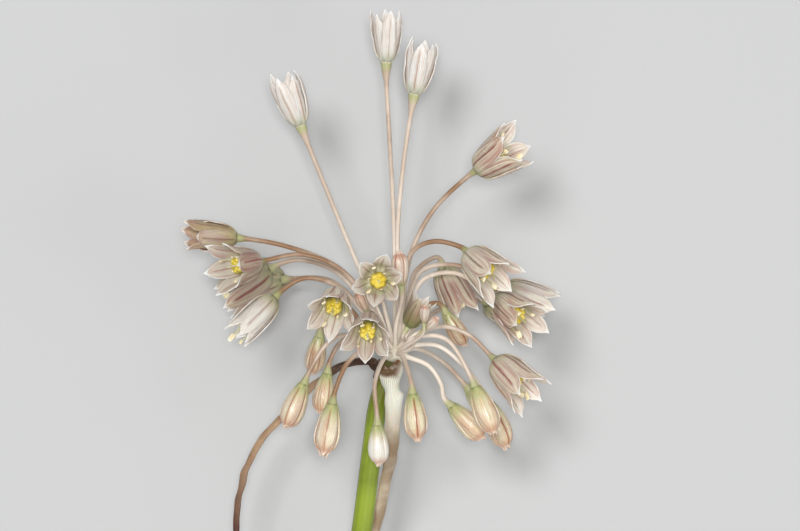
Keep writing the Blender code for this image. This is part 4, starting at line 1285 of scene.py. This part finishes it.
valveSet = {
    "columns": 25,
    "rowsPerStep": 7,
    "thickness": 0.16,
    "collarRadius": 2.02,
    "collarBelow": 0.1,
    # ragged edges: four waves with their turns along a third of the valve and their strengths
    "waveTurns": (1.5, 4.5),
    "waveStart": (0, 6.3),
    "waveStrength": (0.5, 1.0),
    "waveTimes": 3,
    "ragged": 0.05,
    "ribs": 5,
    "ribDepth": 0.03,
    # crumples: how often across and along, how deep, and the radius up to which there are none
    "crumple": (1.6, 0.8, 0.16),
    "stiffRadius": 0.5,
    # the torn top edge: how far down it reaches, and its crest near one side
    "tornReach": 1.6,
    "tornShape": 1.5,
    "crestPlace": 0.25,
    "crestWidth": 0.3,
    "tornDepth": 0.25,
    "teeth": (11, 0.2),
    "right": {
        "path": ((0.2, -4.5, 0.95), (0.0, -6.6, 0.4), (-0.15, -8.8, -0.5), (-0.3, -11.5, -1.6),
                 (-0.9, -14.6, -3.0), (-1.6, -18.0, -4.1), (-2.3, -21.5, -5.1), (-3.0, -26.0, -6.3),
                 (-3.9, -31.0, -7.6)),
        "collar": (0.0, 1.1),
        "collarOut": (0.8, 0.0, 0.6),
        "out": (0.3, 0.0, 1.0),
        "half": (88, 84, 70, 66, 62, 58, 54, 48, 40, 32, 20),
        "radii": (2.02, 2.0, 1.38, 1.16, 1.08, 1.0, 0.95, 0.92, 0.9, 0.85, 0.8),
        "inset": (0.5, 0.46, 0.2, 0.12, 0.1, 0.1, 0.1, 0.1, 0.1, 0.1, 0.1),
        "frill": 1.3,
    },
    "left": {
        "path": ((-2.9, -0.9, -3.1), (-5.7, -1.3, -4.2), (-8.9, -3.2, -4.4), (-12.6, -6.9, -4.2),
                 (-15.4, -9.8, -4.0), (-17.3, -13.4, -3.8), (-18.3, -17.6, -3.6), (-18.5, -22.0, -3.5),
                 (-18.3, -26.5, -3.4)),
        "collar": (0.1, 1.0),
        "collarOut": (-0.75, 0.0, -0.65),
        "out": (-0.2, 0.5, 0.8),
        "half": (30, 30, 36, 42, 44, 44, 44, 44, 40, 36, 26),
        "radii": (2.02, 2.02, 0.95, 0.76, 0.7, 0.68, 0.67, 0.67, 0.67, 0.67, 0.66),
        "inset": (0.5, 0.4, 0.12, 0.1, 0.1, 0.1, 0.1, 0.1, 0.1, 0.1, 0.1),
        "frill": 0.3,
    },
}


# Knots of a valve's middle line and the way out from it at each: first on the scape, then free
def valveKnots(sizes):
    down = unit(np.subtract(scapeSet["path"][2], scapeSet["path"][1]))
    top = np.asarray(scapeSet["path"][1]) + down * sizes["collarBelow"]
    first = np.asarray(sizes["collarOut"])
    first = unit(first - down * np.dot(first, down))
    knots = [top + first * sizes["collarRadius"] + down * reach for reach in sizes["collar"]]
    outs = [first] * len(knots)
    knots += [np.array(p) for p in sizes["path"]]
    outs += [unit(sizes["out"])] * len(sizes["path"])
    return np.array(knots), np.array(outs)


# The valve's surface, row by row from its top
def valvePoints(sizes, seed, count):
    knots, outs = valveKnots(sizes)
    path = through(knots, count)
    lengths = runLengths(path)
    share = lengths / lengths[-1]
    marks = runLengths(knots) / runLengths(knots)[-1]
    half, radii, inset = (np.interp(share, marks, sizes[key]) for key in ("half", "radii", "inset"))
    outward = np.column_stack([np.interp(share, marks, column) for column in outs.T])
    tangents = np.gradient(path, axis=0)
    draw = random.Random(seed)
    limits = [sizes[key] for key in ("waveTurns", "waveStart", "waveStrength")]
    waves = [[draw.uniform(*limit) for limit in limits] for _ in range(4)]
    crumpleAcross, crumpleAlong, crumpleDepth = sizes["crumple"]
    teeth, toothDepth = sizes["teeth"]
    points = []
    for row in range(count):
        tangent = unit(tangents[row])
        out = unit(outward[row] - tangent * np.dot(outward[row], tangent))
        other = np.cross(tangent, out)
        centre = path[row] - out * radii[row]
        nearTop = max(0.0, 1.0 - lengths[row] / sizes["tornReach"]) ** sizes["tornShape"]
        loose = min(1.0, radii[row] - sizes["stiffRadius"])
        for side in np.linspace(-1, 1, sizes["columns"]):
            ragged = sizes["ragged"] * sum(
                strength * math.sin(2 * math.pi * turns * share[row] * sizes["waveTimes"] + start + side)
                for turns, start, strength in waves)
            angle = math.radians(half[row]) * side * (1 + ragged * abs(side))
            rib = sizes["ribDepth"] * math.sin(math.pi * sizes["ribs"] * side) ** 2
            spot = Vector((side * crumpleAcross, lengths[row] * crumpleAlong, seed))
            crumple = noise.noise(spot) * crumpleDepth * loose
            radius = radii[row] - inset[row] - rib + ragged * side * side + crumple
            point = centre + radius * (out * math.cos(angle) + other * math.sin(angle))
            crest = math.exp(-(((side - sizes["crestPlace"]) / sizes["crestWidth"]) ** 2)) * sizes["frill"]
            crest += sizes["tornDepth"] + toothDepth * math.sin(teeth * side + seed)
            points.append((point - tangent * nearTop * crest + hub) * mm)
    return points


def makeValve(name, look, material, seed):
    sizes = {**valveSet, **look}
    columns = sizes["columns"]
    rows = (len(sizes["collar"]) + len(sizes["path"]) - 1) * sizes["rowsPerStep"] + 1
    faces, corners = [], []
    for row in range(rows - 1):
        for column in range(columns - 1):
            low = row * columns + column
            faces.append((low, low + 1, low + columns + 1, low + columns))
            corners += [(column, row), (column + 1, row), (column + 1, row + 1), (column, row + 1)]
    mesh = bpy.data.meshes.new(name)
    mesh.from_pydata([tuple(p) for p in valvePoints(sizes, seed, rows)], [], faces)
    layer = mesh.uv_layers.new(name="UVMap")
    for loop, (column, row) in zip(layer.data, corners):
        loop.uv = (column / (columns - 1), row / (rows - 1))
    mesh.materials.append(material)
    piece = inScene(name, mesh)
    thicken(piece, sizes["thickness"])
    return piece


settle(makeValve("spathe_valve_right_sheet", valveSet["right"], bractMaterials["bractPale"], 3),
       "valve_pale", "spathe_valve_right")
settle(makeValve("spathe_valve_left_sheet", valveSet["left"], bractMaterials["bractBrown"], 8),
       "valve_brown", "spathe_valve_left")
print("valves made")


# Floor, light and camera

studio = {
    "floorHalf": 1.5,
    "paper": paint(186, 187, 187),
    "paperCloud": paint(200, 200, 198),
    "cloud": (60.0, 2.0),
    "cloudShare": 0.1,
    "rough": (0.75, 0.85),
    "depth": 0.05,
    "worldColour": paint(238, 238, 236),
    "worldStrength": 0.3,
    "lampTarget": (0.0, 0.035, 0.015),
    # name, place, size and power
    "lamps": (
        ("key", (-0.11, 0.16, 0.58), 0.14, 1.7),
        ("flash", (0.01, 0.05, 0.66), 0.07, 1.8),
        ("fill", (0.40, -0.10, 0.42), 0.34, 0.7),
        ("under", (0.02, -0.42, 0.30), 0.30, 0.5),
    ),
}
view = {
    "middle": (0.003175, 0.03551),
    "height": 0.4676,
    "distance": 0.45,
    "frameWidth": 0.092,
    "sensorWidth": 36,
    "nearest": 0.01,
}


def makeFloor():
    half = studio["floorHalf"]
    mesh = bpy.data.meshes.new("floor")
    corners = [(-half, -half, 0), (half, -half, 0), (half, half, 0), (-half, half, 0)]
    mesh.from_pydata(corners, [], [(0, 1, 2, 3)])
    board = MaterialBoard("floorPaper", studio)
    cloud, = board.noises("cloud")
    board.firstCoat(board.times(cloud, studio["cloudShare"]), studio["paper"], studio["paperCloud"])
    mesh.materials.append(board.finish(cloud, studio["rough"], cloud, studio["depth"]))
    inScene("floor", mesh)


def makeLights():
    world = bpy.data.worlds.new("studio")
    world.use_nodes = True
    background = world.node_tree.nodes["Background"]
    background.inputs["Color"].default_value = studio["worldColour"]
    background.inputs["Strength"].default_value = studio["worldStrength"]
    bpy.context.scene.world = world
    for name, place, size, power in studio["lamps"]:
        lamp = bpy.data.lights.new(name, "AREA")
        lamp.shape = "DISK"
        lamp.size = size
        lamp.energy = power
        holder = inScene(name, lamp)
        holder.location = place
        aim = Vector(studio["lampTarget"]) - Vector(place)
        holder.rotation_euler = aim.to_track_quat("-Z", "Y").to_euler()


def makeCamera():
    camera = bpy.data.cameras.new("camera")
    camera.sensor_width = view["sensorWidth"]
    camera.lens = camera.sensor_width * view["distance"] / view["frameWidth"]
    camera.clip_start = view["nearest"]
    holder = inScene("camera", camera)
    holder.location = (*view["middle"], view["height"])
    bpy.context.scene.camera = holder


makeFloor()
makeLights()
makeCamera()
bpy.context.scene.view_settings.view_transform = "Standard"
print("floor, light and camera made")
